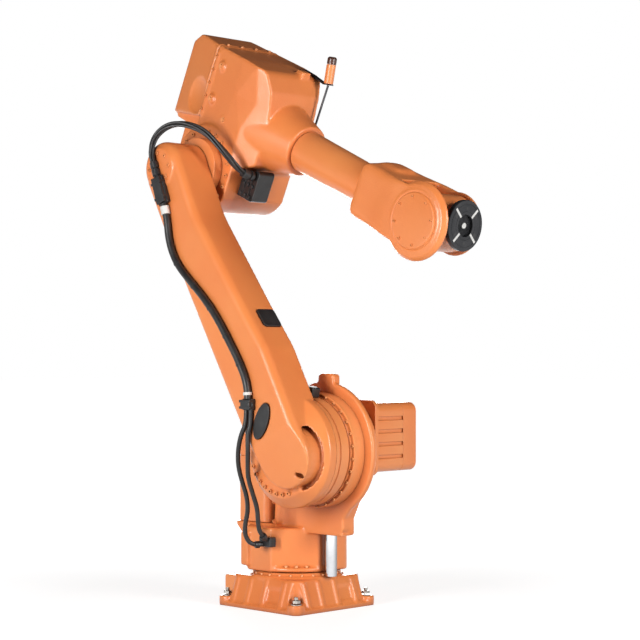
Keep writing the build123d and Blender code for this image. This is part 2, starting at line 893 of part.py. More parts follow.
# Harness clamps, seen like the arm's plugs with local Y pointing into the arm
low_clamp_place = (
    shoulder_place
    * Pos(low_clamp_x, arm_outer - seat_gap, low_clamp_z)
    * Rot(0, low_clamp_turn, 0)
)
high_clamp_place = (
    shoulder_place
    * Pos(high_clamp_x, arm_outer - seat_gap, high_clamp_z)
    * Rot(0, high_clamp_turn, 0)
)
for name, place, length in (
    ("harness_clamp_low", low_clamp_place, low_clamp_length),
    ("harness_clamp_high", high_clamp_place, high_clamp_length),
):
    clamp = block(-clamp_width / 2, clamp_width / 2, -clamp_height, 0, -length / 2, length / 2)
    outer_edges = clamp.edges().filter_by(Axis.Z).group_by(Axis.Y)[0]
    save(name, place * fillet(outer_edges, clamp_round))

# Harness run along the outer side of the lower arm, between the two clamps
harness_y = -harness_radius - seat_gap
low_end = low_clamp_length / 2 + seat_gap
high_end = high_clamp_length / 2 + seat_gap
arm_route = [
    (30, -308, 290),
    (18, -308, 372),
    (6, -308, 450),
    (-18, -308, 532),
    (-52, -308, 614),
    (-80, -308, 690),
    (-80, -308, 764),
]
arm_run = tube(
    [
        *carry(low_clamp_place, [(0, harness_y, low_end), (0, harness_y, low_end + clamp_exit)]),
        *carry(shoulder_place, arm_route),
        *carry(high_clamp_place, [(0, harness_y, -high_end - clamp_exit), (0, harness_y, -high_end)]),
    ],
    harness_radius,
)
save("harness_arm_run", arm_run)

# Bracket on the flat front of the hub, its top following the slope of the housing above
brow_slope = (neck_tip_radius - hub_cut_high) / (housing_front - hub_front_cut)
bracket_back = hub_front_cut + seat_gap
bracket_front = bracket_back + bracket_depth
bracket = side_plate(
    [
        (bracket_back, bracket_low, 0),
        (bracket_back, bracket_high, 0),
        (bracket_front, bracket_high + brow_slope * bracket_depth, bracket_round),
        (bracket_front, bracket_low, bracket_round),
    ],
    -bracket_right,
    -bracket_left,
)
save("harness_bracket", elbow_place * bracket)

# Harness loop over the elbow, from the high clamp into the right side of the bracket
elbow_route = [
    (-58, -311, 20),
    (-72, -300, 68),
    (-54, -276, 114),
    (-8, -252, 138),
    (56, -224, 140),
    (110, -202, 116),
    (148, -178, 90),
    (168, -148, 64),
    (177, -114, 48),
]
loop_end = (bracket_back + loop_end_ahead, lead_in - bracket_right, loop_end_up)
elbow_loop = tube(
    [
        *carry(high_clamp_place, [(0, harness_y, high_end), (0, harness_y, high_end + clamp_exit)]),
        *carry(elbow_place, elbow_route),
        *carry(elbow_place, [loop_end]),
    ],
    harness_radius,
)
bracket_room = block(
    bracket_back, bracket_front, -bracket_right - seat_gap, 0, bracket_low, housing_brow_low
)
save("harness_elbow_loop", elbow_loop - elbow_place * bracket_room)

# Connector on the turret's neck
connector_back = -neck_right - seat_gap
connector_face = connector_back - connector_depth
connector = block(
    connector_x - connector_width / 2,
    connector_x + connector_width / 2,
    connector_face,
    connector_back,
    connector_z - connector_height / 2,
    connector_z + connector_height / 2,
)
save("turret_connector", connector)

# Two strands of the harness hanging from the low clamp into the connector
strand_routes = {
    "harness_strand_front": (
        strand_spread,
        [
            (104, -308, 546),
            (102, -304, 502),
            (86, -290, 458),
            (64, -268, 412),
            (54, -240, 366),
            (54, -220, 318),
            (48, -212, 274),
            (38, -194, 238),
        ],
        (32, 215),
    ),
    "harness_strand_rear": (
        -strand_spread,
        [
            (76, -308, 546),
            (58, -304, 498),
            (44, -290, 448),
            (36, -266, 400),
            (30, -240, 352),
            (16, -224, 306),
            (-2, -220, 264),
            (-8, -212, 226),
            (0, -190, 200),
        ],
        (14, 203),
    ),
}
connector_room = block(
    connector_x - connector_width,
    connector_x + connector_width,
    connector_face - seat_gap,
    connector_back,
    connector_z - connector_height,
    connector_z + connector_height,
)
for name, (shift, route, (end_x, end_z)) in strand_routes.items():
    strand_y = -strand_radius - seat_gap
    strand = tube(
        [
            *carry(low_clamp_place, [(shift, strand_y, -low_end)]),
            *carry(low_clamp_place, [(shift, strand_y, -low_end - clamp_exit)]),
            *[Vector(*point) for point in route],
            Vector(end_x, connector_face + lead_in, end_z),
        ],
        strand_radius,
    )
    save(name, strand - connector_room)

# Leads of the two motors, each from a plug on its motor down into the turret
shoulder_plug_front = motor_x - motor_width / 2 - seat_gap
shoulder_plug_y = cap_start + motor_cap_length / 2
shoulder_plug_z = motor_z - shoulder_plug_below
shoulder_plug = block(
    shoulder_plug_front - lead_plug_depth,
    shoulder_plug_front,
    shoulder_plug_y - lead_plug_side / 2,
    shoulder_plug_y + lead_plug_side / 2,
    shoulder_plug_z - lead_plug_side / 2,
    shoulder_plug_z + lead_plug_side / 2,
)
save("shoulder_motor_plug", shoulder_plug)
shoulder_lead = tube(
    [
        (
            shoulder_plug_front - lead_plug_depth / 2,
            shoulder_plug_y,
            shoulder_plug_z - lead_plug_side / 2 - seat_gap,
        ),
        (shoulder_plug_front - lead_plug_depth / 2, shoulder_plug_y, 452),
        (50, 258, 404),
        (38, 240, 352),
        (22, 212, 302),
        (6, 184, 262),
        (-4, 154, 238),
        (-4, neck_left + seat_gap, 238),
    ],
    lead_radius,
)
save("shoulder_motor_lead", shoulder_lead)
turn_plug_right = turn_motor_side / 2 - turn_motor_right + seat_gap
turn_plug_z = turn_cap_low + turn_motor_cap - turning_plug_below_top
turn_plug = block(
    -turn_motor_back - lead_plug_side / 2,
    -turn_motor_back + lead_plug_side / 2,
    turn_plug_right,
    turn_plug_right + lead_plug_depth,
    turn_plug_z - lead_plug_side / 2,
    turn_plug_z + lead_plug_side / 2,
)
save("turning_motor_plug", turn_plug)
turn_lead = tube(
    [
        (
            -turn_motor_back,
            turn_plug_right + lead_plug_depth / 2,
            turn_plug_z - lead_plug_side / 2 - seat_gap,
        ),
        (-turn_motor_back, turn_plug_right + lead_plug_depth / 2, 432),
        (-110, 70, 384),
        (-100, 80, 334),
        (-88, 90, 290),
        (-88, 90, neck_top + seat_gap),
    ],
    lead_radius,
)
save("turning_motor_lead", turn_lead)
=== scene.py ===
import json
from math import atan2, cos, pi, radians, sin

import bmesh
import bpy
from mathutils import Matrix, Vector


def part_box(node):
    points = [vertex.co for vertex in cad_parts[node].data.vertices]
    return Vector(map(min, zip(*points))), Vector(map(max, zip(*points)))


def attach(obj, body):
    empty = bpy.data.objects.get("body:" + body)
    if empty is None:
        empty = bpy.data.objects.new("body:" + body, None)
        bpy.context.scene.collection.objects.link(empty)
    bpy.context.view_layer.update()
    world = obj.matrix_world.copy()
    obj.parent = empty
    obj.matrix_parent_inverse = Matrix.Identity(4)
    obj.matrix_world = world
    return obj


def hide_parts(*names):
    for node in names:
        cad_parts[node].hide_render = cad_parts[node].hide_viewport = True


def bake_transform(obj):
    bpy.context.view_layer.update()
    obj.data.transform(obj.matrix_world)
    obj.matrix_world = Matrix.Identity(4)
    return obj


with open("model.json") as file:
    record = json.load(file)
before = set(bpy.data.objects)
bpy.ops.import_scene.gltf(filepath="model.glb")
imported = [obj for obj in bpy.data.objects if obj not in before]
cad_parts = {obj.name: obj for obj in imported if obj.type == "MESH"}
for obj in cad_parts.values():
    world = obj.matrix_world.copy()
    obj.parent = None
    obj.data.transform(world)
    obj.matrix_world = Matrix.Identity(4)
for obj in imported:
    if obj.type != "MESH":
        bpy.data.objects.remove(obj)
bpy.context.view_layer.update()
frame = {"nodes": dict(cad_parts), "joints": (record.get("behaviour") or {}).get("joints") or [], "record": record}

# Local frames of the arm, from the joints of the frame
MM = 0.001
joints = {joint["name"]: joint for joint in frame["joints"]}
shoulder = Vector(joints["axis_2_shoulder"]["pos_m"])
elbow = Vector(joints["axis_3_elbow"]["pos_m"])
wrist = Vector(joints["axis_5_wrist_tilt"]["pos_m"])
left = Vector((0, 1, 0))


def local_frame(origin, forward):
    """Matrix of a frame at origin with X forward, Y to the robot's left and Z across both."""
    forward = Vector(forward).normalized()
    axes = Matrix((forward, left, forward.cross(left))).transposed().to_4x4()
    return Matrix.Translation(origin) @ axes


turret_frame = Matrix.Identity(4)
arm_frame = local_frame(shoulder, left.cross(elbow - shoulder))
elbow_frame = local_frame(elbow, joints["axis_4_forearm_roll"]["axis"])
wrist_frame = local_frame(wrist, joints["axis_6_flange_turn"]["axis"])

# Camera: the photograph's viewpoint, framed on this one robot, in metres and as a lens in millimetres
camera_turn = radians(-44.6)
camera_distance = 5.544
camera_height = 0.812
camera_lens = 99.6
camera_sensor = 36.0
camera_shift = (0.0364, 0.0394)

# Sizes that several pieces share, in millimetres
shoulder_x, shoulder_z = shoulder.x / MM, shoulder.z / MM
wrist_place = (elbow_frame.inverted() @ wrist) / MM
clearance = 0.3
screw_sink = 0.2


def make_camera():
    data = bpy.data.cameras.new("camera")
    data.lens = camera_lens
    data.sensor_width = camera_sensor
    data.shift_x, data.shift_y = camera_shift
    camera = bpy.data.objects.new("camera", data)
    bpy.context.scene.collection.objects.link(camera)
    away = Vector((cos(camera_turn), sin(camera_turn), 0))
    camera.location = away * camera_distance + Vector((0, 0, camera_height))
    camera.rotation_euler = (-away).to_track_quat("-Z", "Y").to_euler()
    bpy.context.scene.camera = camera


# Materials, with the scales of their noise in waves per metre
enamel_clouds = 3.0
enamel_gloss = 14.0
enamel_peel = 240.0
plain_clouds = 22.0
plain_gloss = 40.0


def new_material(name):
    """Material with a Principled shader, and short ways to add nodes and links."""
    material = bpy.data.materials.new(name)
    material.use_nodes = True
    nodes, links = material.node_tree.nodes, material.node_tree.links
    return material, nodes, links, nodes["Principled BSDF"]


def map_range(nodes, links, value, source, target):
    """Value carried from one range to another, as a socket."""
    node = nodes.new("ShaderNodeMapRange")
    for name, number in zip(("From Min", "From Max", "To Min", "To Max"), (*source, *target)):
        node.inputs[name].default_value = number
    links.new(value, node.inputs["Value"])
    return node.outputs["Result"]


def noise(nodes, links, scale, detail, low, high, coordinates):
    """Noise between two values, as a socket."""
    texture = nodes.new("ShaderNodeTexNoise")
    texture.inputs["Scale"].default_value = scale
    texture.inputs["Detail"].default_value = detail
    links.new(coordinates, texture.inputs["Vector"])
    return map_range(nodes, links, texture.outputs["Fac"], (0.3, 0.7), (low, high))


def mix_colour(nodes, links, factor, first, second):
    """Mix of two colours, or of a linked colour and a colour."""
    mix = nodes.new("ShaderNodeMix")
    mix.data_type = "RGBA"
    links.new(factor, mix.inputs["Factor"])
    for socket, value in ((mix.inputs["A"], first), (mix.inputs["B"], second)):
        if isinstance(value, tuple):
            socket.default_value = (*value, 1)
        else:
            links.new(value, socket)
    return mix.outputs["Result"]


def bump(nodes, links, height, strength, distance, shader):
    node = nodes.new("ShaderNodeBump")
    node.inputs["Strength"].default_value = strength
    node.inputs["Distance"].default_value = distance
    links.new(height, node.inputs["Height"])
    links.new(node.outputs["Normal"], shader.inputs["Normal"])


def paint(name, colour, shade, edge_wear_and_highlight_colour, hollow_shade_colour, roughness, coat, peel):
    """Enamel over a casting: cloudy colour, edges painted lighter as wear and as a painted edge highlight, painted
    shade darkening the hollows, orange-peel bump.
    """
    material, nodes, links, shader = new_material(name)
    where = nodes.new("ShaderNodeTexCoord").outputs["Object"]
    clouds = noise(nodes, links, enamel_clouds, 4, 0.0, 1.0, where)
    base = mix_colour(nodes, links, clouds, colour, shade)
    # Painted shade: the colour darkens where ambient occlusion finds a hollow
    hollow = nodes.new("ShaderNodeAmbientOcclusion")
    hollow.samples = 6
    hollow.inputs["Distance"].default_value = 0.05
    painted_hollow_shade = map_range(nodes, links, hollow.outputs["AO"], (0.25, 0.8), (0.72, 0.0))
    base = mix_colour(nodes, links, painted_hollow_shade, base, hollow_shade_colour)
    # Painted edge highlight, partly wear: sharp convex edges turn a pale orange
    edge = nodes.new("ShaderNodeNewGeometry").outputs["Pointiness"]
    edge_wear_and_highlight = map_range(nodes, links, edge, (0.53, 0.66), (0.0, 0.6))
    base = mix_colour(nodes, links, edge_wear_and_highlight, base, edge_wear_and_highlight_colour)
    links.new(base, shader.inputs["Base Color"])
    gloss = noise(nodes, links, enamel_gloss, 3, roughness - 0.05, roughness + 0.09, where)
    links.new(gloss, shader.inputs["Roughness"])
    shader.inputs["Coat Weight"].default_value = coat
    shader.inputs["Coat Roughness"].default_value = 0.18
    bump(nodes, links, noise(nodes, links, enamel_peel, 4, 0.0, 1.0, where), 0.35, peel, shader)
    return material


def plain(name, colour, second, roughness, metallic=0.0, grain=300.0, depth=0.0003, rim=None):
    """Moulded, rubbery or metal surface: two close tones, uneven gloss, a fine grain and a rim tone, which is a
    painted reflection darker towards the grazing edges.
    """
    material, nodes, links, shader = new_material(name)
    where = nodes.new("ShaderNodeTexCoord").outputs["Object"]
    clouds = noise(nodes, links, plain_clouds, 4, 0.0, 1.0, where)
    base = mix_colour(nodes, links, clouds, colour, second)
    # Painted reflection: the colour turns to the rim tone where the surface is seen edge-on
    if rim:
        painted_reflection_fade = nodes.new("ShaderNodeLayerWeight")
        painted_reflection_fade.inputs["Blend"].default_value = 0.62
        base = mix_colour(nodes, links, painted_reflection_fade.outputs["Facing"], base, rim)
    links.new(base, shader.inputs["Base Color"])
    gloss = noise(nodes, links, plain_gloss, 3, roughness * 0.8, roughness * 1.25, where)
    links.new(gloss, shader.inputs["Roughness"])
    shader.inputs["Metallic"].default_value = metallic
    bump(nodes, links, noise(nodes, links, grain, 2, 0.0, 1.0, where), 0.3, depth, shader)
    return material


orange = paint(
    "orange_enamel",
    colour=(0.90, 0.295, 0.085),
    shade=(0.84, 0.225, 0.060),
    # pale colour of the edges: painted edge highlight, partly wear
    edge_wear_and_highlight_colour=(1.0, 0.54, 0.23),
    # dark colour of the painted shade in the hollows
    hollow_shade_colour=(0.16, 0.035, 0.012),
    roughness=0.34,
    coat=0.16,
    peel=0.0006,
)
# Polished pin: its dark edges round a bright middle are a painted reflection
chrome = plain(
    "polished_steel",
    (0.83, 0.84, 0.86),
    (0.70, 0.71, 0.73),
    roughness=0.07,
    metallic=1.0,
    grain=60.0,
    depth=0.0001,
    rim=(0.02, 0.02, 0.025),
)
steel = plain("bolt_steel", (0.52, 0.50, 0.47), (0.36, 0.34, 0.31), 0.34, 1.0)
bright = plain("machined_face", (0.86, 0.85, 0.82), (0.70, 0.69, 0.66), 0.22, 0.9)
dark_steel = plain("dark_steel", (0.022, 0.023, 0.026), (0.045, 0.045, 0.048), 0.33, 0.55)
rubber = plain("cable_rubber", (0.010, 0.010, 0.011), (0.028, 0.026, 0.025), 0.42)
plastic = plain("black_plastic", (0.012, 0.012, 0.013), (0.03, 0.03, 0.031), 0.36)
pale = plain("pale_plastic", (0.80, 0.66, 0.33), (0.68, 0.54, 0.25), 0.42)
white = plain("white_tape", (0.80, 0.80, 0.77), (0.66, 0.65, 0.62), 0.5)
lens = plain("lamp_plastic", (0.10, 0.035, 0.02), (0.05, 0.02, 0.012), 0.16)


# Mesh building, in millimetres of a local frame
def axis_x(place, y, z):
    """Frame whose own Z runs along the local X."""
    return place @ Matrix.Translation((0, y * MM, z * MM)) @ Matrix.Rotation(pi / 2, 4, "Y")


def axis_y(place, x, z):
    """Frame whose own Z runs along the local Y."""
    return place @ Matrix.Translation((x * MM, 0, z * MM)) @ Matrix.Rotation(-pi / 2, 4, "X")


def axis_z(place, x, y):
    """Frame whose own Z runs along the local Z."""
    return place @ Matrix.Translation((x * MM, y * MM, 0))


def raised(place, height):
    """The frame, moved along its own Z."""
    return place @ Matrix.Translation((0, 0, height * MM))


def left_seat(place, x, z, y):
    """Frame on the plane at y, with its own Z to the robot's left."""
    return raised(axis_y(place, x, z), y)


def right_seat(place, x, z, y):
    """Frame on the plane at y, with its own Z to the robot's right."""
    return left_seat(place, x, z, y) @ Matrix.Rotation(pi, 4, "X")


def tilted(place, point, angle, axis):
    """Frame at a point of a local frame, turned by an angle in degrees about one of its axes."""
    return place @ Matrix.Translation(Vector(point) * MM) @ Matrix.Rotation(radians(angle), 4, axis)


def ring_points(count, radius, centre=(0, 0), phase=0.5):
    """Evenly spaced points of a circle."""
    turns = [2 * pi * (k + phase) / count for k in range(count)]
    return [(centre[0] + radius * cos(turn), centre[1] + radius * sin(turn)) for turn in turns]


def add_rings(bm, place, profile, sides, closed=False):
    """Surface of revolution about the frame's Z from (radius, height) pairs, its ends capped."""
    rings = []
    for radius, height in profile:
        ring = []
        for k in range(sides):
            turn = 2 * pi * (k + 0.5) / sides
            point = Vector((radius * cos(turn), radius * sin(turn), height)) * MM
            ring.append(bm.verts.new(place @ point))
        rings.append(ring)
    pairs = list(zip(rings, rings[1:]))
    if closed:
        pairs.append((rings[-1], rings[0]))
    for lower, upper in pairs:
        for k in range(sides):
            following = (k + 1) % sides
            bm.faces.new((lower[k], lower[following], upper[following], upper[k]))
    if not closed:
        bm.faces.new(list(reversed(rings[0])))
        bm.faces.new(rings[-1])


def add_drum(bm, place, radius, low, high, sides=48, chamfer=0.0):
    """Drum between two heights, chamfered at its top."""
    profile = [(radius, low)]
    if chamfer:
        profile += [(radius, high - chamfer), (radius - chamfer, high)]
    else:
        profile += [(radius, high)]
    add_rings(bm, place, profile, sides)


def add_block(bm, place, low, high):
    """Box between two corners of a local frame."""
    corners = [
        bm.verts.new(place @ (Vector((x, y, z)) * MM))
        for x in (low[0], high[0])
        for y in (low[1], high[1])
        for z in (low[2], high[2])
    ]
    for face in ((0, 1, 3, 2), (4, 6, 7, 5), (0, 4, 5, 1), (2, 3, 7, 6), (0, 2, 6, 4), (1, 5, 7, 3)):
        bm.faces.new([corners[k] for k in face])


def add_prism(bm, place, outline, low, high):
    """Outline of (x, z) points in a local frame, carried along its Y from low to high."""
    near = [bm.verts.new(place @ (Vector((x, low, z)) * MM)) for x, z in outline]
    far = [bm.verts.new(place @ (Vector((x, high, z)) * MM)) for x, z in outline]
    for k in range(len(outline)):
        following = (k + 1) % len(outline)
        bm.faces.new((near[k], near[following], far[following], far[k]))
    bm.faces.new(list(reversed(near)))
    bm.faces.new(far)


def add_hull(bm, place, points):
    """Convex body round a few points of a local frame."""
    verts = [bm.verts.new(place @ (Vector(point) * MM)) for point in points]
    made = bmesh.ops.convex_hull(bm, input=verts, use_existing_faces=False)
    bmesh.ops.delete(bm, geom=made["geom_interior"] + made["geom_unused"], context="VERTS")


def add_dome(bm, place, radius, depth, sides=40, steps=8):
    """Shallow dome about the frame's Z, on a rim 4 mm deep."""
    arc = [(radius * cos(pi / 2 * k / steps), depth * sin(pi / 2 * k / steps)) for k in range(steps)]
    add_rings(bm, place, [(radius, -4)] + arc + [(radius * 0.02, depth)], sides)


def add_bolt(bm, place, radius, height, washer=True):
    """Hexagon head on a washer, standing on the frame's own XY plane."""
    if washer:
        add_drum(bm, place, radius * 1.35, 0, height * 0.2, 16)
    add_drum(bm, place, radius, height * 0.2, height, 6, height * 0.15)


def add_socket_screw(bm, place, radius, height):
    """Cap screw with its hexagon socket."""
    profile = [(radius, 0), (radius, height * 0.85), (radius * 0.85, height)]
    profile += [(radius * 0.5, height), (radius * 0.5, height * 0.45), (radius * 0.05, height * 0.45)]
    add_rings(bm, place, profile, 12)


def shade_smooth(mesh, angle):
    """Smooth shading, with edges sharper than an angle in degrees left sharp."""
    for polygon in mesh.polygons:
        polygon.use_smooth = True
    mesh.set_sharp_from_angle(angle=radians(angle))


def make_piece(name, bm, body, slot, material, smooth_angle=35, bevel=0.0):
    """Object from a bmesh that rides on a body and takes a material."""
    bmesh.ops.recalc_face_normals(bm, faces=bm.faces)
    mesh = bpy.data.meshes.new(name)
    bm.to_mesh(mesh)
    bm.free()
    shade_smooth(mesh, smooth_angle)
    piece = bpy.data.objects.new(name, mesh)
    bpy.context.scene.collection.objects.link(piece)
    mesh.materials.append(material)
    if bevel:
        soften = piece.modifiers.new("edges", "BEVEL")
        soften.width = bevel * MM
        soften.segments = 2
        soften.limit_method = "ANGLE"
        soften.angle_limit = radians(40)
        soften.harden_normals = True
    if body:
        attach(piece, body)
    return piece


def apply_modifiers(piece):
    """The mesh with its modifiers becomes the mesh."""
    depsgraph = bpy.context.evaluated_depsgraph_get()
    mesh = bpy.data.meshes.new_from_object(piece.evaluated_get(depsgraph))
    piece.modifiers.clear()
    piece.data = mesh


def node_body(name):
    """Name of the body that carries a node."""
    for body, members in frame["record"]["behaviour"]["bodies"].items():
        if name in members:
            return body


def node_bmesh(name):
    """Closed copy of a node's mesh."""
    bm = bmesh.new()
    bm.from_mesh(frame["nodes"][name].data)
    bmesh.ops.remove_doubles(bm, verts=bm.verts, dist=0.00001)
    return bm


def cut_out(piece, cut):
    """The forms that a function makes are taken out of a piece."""
    bm = bmesh.new()
    cut(bm)
    cutter = make_piece(piece.name + "_cutter", bm, None, None, orange)
    remove = piece.modifiers.new("cut", "BOOLEAN")
    remove.operation = "DIFFERENCE"
    remove.solver = "EXACT"
    remove.use_self = True
    remove.object = cutter
    apply_modifiers(piece)
    bpy.data.objects.remove(cutter)


def casting(name, voxel, rounds, extra=None, cut=None, soft_zone=None):
    """Cast piece in a node's place: its solid and extra forms fused, cuts taken out, edges rounded."""
    bm = node_bmesh(name)
    if extra:
        extra(bm)
    piece = make_piece(name + "_cast", bm, None, "orange_paint", orange)
    if cut:
        cut_out(piece, cut)
    remesh = piece.modifiers.new("skin", "REMESH")
    remesh.mode = "VOXEL"
    remesh.voxel_size = voxel * MM
    remesh.use_smooth_shade = True
    soften = piece.modifiers.new("round", "SMOOTH")
    soften.factor = 0.5
    soften.iterations = rounds
    apply_modifiers(piece)
    if not piece.data.materials:
        piece.data.materials.append(orange)
    for polygon in piece.data.polygons:
        polygon.use_smooth = True
    # A remeshed foot stays on the floor
    for vertex in piece.data.vertices:
        vertex.co.z = max(vertex.co.z, 0)
    if soft_zone:
        soften_zone(piece, *soft_zone)
    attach(piece, node_body(name))
    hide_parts(name)


def soften_zone(piece, place, low, high, rounds, fade=0.7):
    """Rounder corners inside a box of a local frame, with fewer rounds towards its far X end."""
    inside = place.inverted()
    bm = bmesh.new()
    bm.from_mesh(piece.data)
    spots = [(vert, (inside @ vert.co) / MM) for vert in bm.verts]
    spots = [(vert, spot) for vert, spot in spots if all(low[k] <= spot[k] <= high[k] for k in range(3))]
    axes = {"use_axis_x": True, "use_axis_y": True, "use_axis_z": True}
    for k in range(rounds):
        limit = high[0] - (high[0] - low[0]) * fade * k / rounds
        chosen = [vert for vert, spot in spots if spot.x <= limit]
        bmesh.ops.smooth_vert(bm, verts=chosen, factor=0.5, **axes)
    bm.to_mesh(piece.data)
    bm.free()


def dressed(name, material, slot, width):
    """Machined piece in a node's place: its solid with flat faces joined and edges broken."""
    bm = node_bmesh(name)
    bmesh.ops.dissolve_limit(bm, angle_limit=radians(0.4), verts=bm.verts, edges=bm.edges)
    piece = make_piece(name + "_dressed", bm, node_body(name), slot, material, bevel=width)
    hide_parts(name)


# Cables
def nurbs_curve(name, points):
    """Curve of one open spline with these control points."""
    data = bpy.data.curves.new(name, "CURVE")
    data.dimensions = "3D"
    data.resolution_u = 10
    spline = data.splines.new("NURBS")
    spline.points.add(len(points) - 1)
    for target, point in zip(spline.points, points):
        target.co = (*point, 1)
    spline.order_u = 3
    spline.use_endpoint_u = True
    curve = bpy.data.objects.new(name, data)
    bpy.context.scene.collection.objects.link(curve)
    return curve


def route_line(points):
    """Points along the smooth line that a route gives."""
    curve = nurbs_curve("route", points)
    depsgraph = bpy.context.evaluated_depsgraph_get()
    mesh = bpy.data.meshes.new_from_object(curve.evaluated_get(depsgraph))
    line = [vertex.co.copy() for vertex in mesh.vertices]
    bpy.data.objects.remove(curve)
    return line


def line_length(line):
    return sum((after - before).length for before, after in zip(line, line[1:]))


def line_frames(line):
    """Frames along a line, each turned as little as possible from the one before."""
    frames = []
    side = None
    for k, point in enumerate(line):
        ahead = (line[min(k + 1, len(line) - 1)] - line[max(k - 1, 0)]).normalized()
        if side is None:
            side = ahead.orthogonal().normalized()
        side = (side - ahead * side.dot(ahead)).normalized()
        frames.append((point, ahead, side, ahead.cross(side)))
    return frames


def add_cable(bm, frames, radius, offset=0.0, phase=0.0, turns=0.0, sides=12):
    """Round cable along frames, or one strand of a bundle that winds round the line."""
    rings = []
    for k, (point, ahead, side, up) in enumerate(frames):
        turn = phase + 2 * pi * turns * k / (len(frames) - 1)
        centre = point + (side * cos(turn) + up * sin(turn)) * offset
        ring = [
            bm.verts.new(centre + (side * cos(a) + up * sin(a)) * radius)
            for a in (2 * pi * j / sides for j in range(sides))
        ]
        rings.append(ring)
    for lower, upper in zip(rings, rings[1:]):
        for j in range(sides):
            following = (j + 1) % sides
            bm.faces.new((lower[j], lower[following], upper[following], upper[j]))
    bm.faces.new(list(reversed(rings[0])))
    bm.faces.new(rings[-1])


def add_band(bm, frames, share, radius, width, edge=0.6, sides=20):
    """Band round a cable at a share of its length, with broken edges."""
    point, ahead, side, up = frames[int(share * (len(frames) - 1))]
    place = Matrix((side, up, ahead)).transposed().to_4x4()
    place = Matrix.Translation(point) @ place
    half = width / 2
    profile = [(radius - edge, -half), (radius, -half + edge), (radius, half - edge), (radius - edge, half)]
    add_rings(bm, place, profile, sides)


def carried(place, points):
    """Points in millimetres of a local frame, carried to metres in the shared frame."""
    return [place @ (Vector(point) * MM) for point in points]


# Cords and their clamps, in millimetres
arm_outer = -296.0
harness_radius = 11.0
strand_radius = 7.0
strand_spread = 10.0
lead_radius = 5.5
clamp_exit = 40.0
low_clamp_length = 34.0
high_clamp_length = 92.0
low_clamp_end = low_clamp_length / 2 + clearance
high_clamp_end = high_clamp_length / 2 + clearance
harness_y = -harness_radius - clearance
strand_y = -strand_radius - clearance


def clamp_frame(x, z, turn):
    """Frame on the outer side of the lower arm, turned in the arm's plane."""
    seat = Vector((x, arm_outer - clearance, z)) * MM
    return arm_frame @ Matrix.Translation(seat) @ Matrix.Rotation(radians(turn), 4, "Y")


low_clamp = clamp_frame(4.0, 158.0, 28.0)
high_clamp = clamp_frame(-38.6, 928.0, 8.0)

# Routes of the harness between its clamps and glands, their points listed
arm_points = [
    (30, -308, 290),
    (18, -308, 372),
    (6, -308, 450),
    (-18, -308, 532),
    (-52, -308, 614),
    (-80, -308, 690),
    (-80, -308, 764),
]
arm_route = [
    *carried(low_clamp, [(0, harness_y, low_clamp_end), (0, harness_y, low_clamp_end + clamp_exit)]),
    *carried(arm_frame, arm_points),
    *carried(high_clamp, [(0, harness_y, -high_clamp_end - clamp_exit), (0, harness_y, -high_clamp_end)]),
]
elbow_points = [
    (-58, -311, 20),
    (-72, -300, 68),
    (-54, -276, 114),
    (-8, -252, 138),
    (56, -224, 140),
    (110, -202, 116),
    (148, -178, 90),
    (168, -148, 64),
    (177, -114, 48),
    (179.3, -78.3, 44),
]
elbow_route = [
    *carried(high_clamp, [(0, harness_y, high_clamp_end), (0, harness_y, high_clamp_end + clamp_exit)]),
    *carried(elbow_frame, elbow_points),
]
front_points = [
    (104, -308, 546),
    (102, -304, 502),
    (86, -290, 458),
    (64, -268, 412),
    (54, -240, 366),
    (54, -220, 318),
    (48, -212, 274),
    (38, -194, 238),
    (33, -160.6, 218),
]
front_route = [
    *carried(low_clamp, [(strand_spread, strand_y, -low_clamp_end)]),
    *carried(low_clamp, [(strand_spread, strand_y, -low_clamp_end - clamp_exit)]),
    *carried(turret_frame, front_points),
]
rear_points = [
    (76, -308, 546),
    (58, -304, 498),
    (44, -290, 448),
    (36, -266, 400),
    (30, -240, 352),
    (16, -224, 306),
    (-2, -220, 264),
    (-8, -212, 226),
    (0, -190, 200),
    (12.4, -160.6, 202.5),
]
rear_route = [
    *carried(low_clamp, [(-strand_spread, strand_y, -low_clamp_end)]),
    *carried(low_clamp, [(-strand_spread, strand_y, -low_clamp_end - clamp_exit)]),
    *carried(turret_frame, rear_points),
]


def bundle(name, route, radius, node, start, end, strands, turns=0.9, core=0.7):
    """Bundle in a cord's place: a cable, or strands wound round a core."""
    line = route_line(route)
    frames = line_frames(line)
    bm = bmesh.new()
    if strands == 1:
        add_cable(bm, frames, radius * MM, sides=18)
    else:
        part = radius * MM / (1 + 1 / sin(pi / strands))
        for k in range(strands):
            add_cable(bm, frames, part, radius * MM - part, 2 * pi * k / strands, turns)
        add_cable(bm, frames, part * core)
    piece = make_piece(name, bm, None, "black_rubber", rubber, smooth_angle=60)
    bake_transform(piece)
    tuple(start)
    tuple(end)
    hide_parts(node)
    tuple(line[0])
    line_length(line)
    [tuple(point) for point in line]
    return frames


def fixed_cable(name, route, radius, node, body):
    """Cable that keeps its shape, in a cord's place."""
    curve = nurbs_curve(name, route)
    curve.data.bevel_depth = radius * MM
    curve.data.bevel_resolution = 4
    curve.data.use_fill_caps = True
    curve.data.materials.append(rubber)
    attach(curve, body)
    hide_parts(node)
    line = route_line(route)
    tuple(line[0])
    line_length(line)
    return line_frames(line)


def bands(name, frames, shares, radius, width, body, material=plastic, slot="black_plastic"):
    """Like bands at shares of a cable's length, as one piece."""
    bm = bmesh.new()
    for share in shares:
        add_band(bm, frames, share, radius, width)
    make_piece(name, bm, body, slot, material)


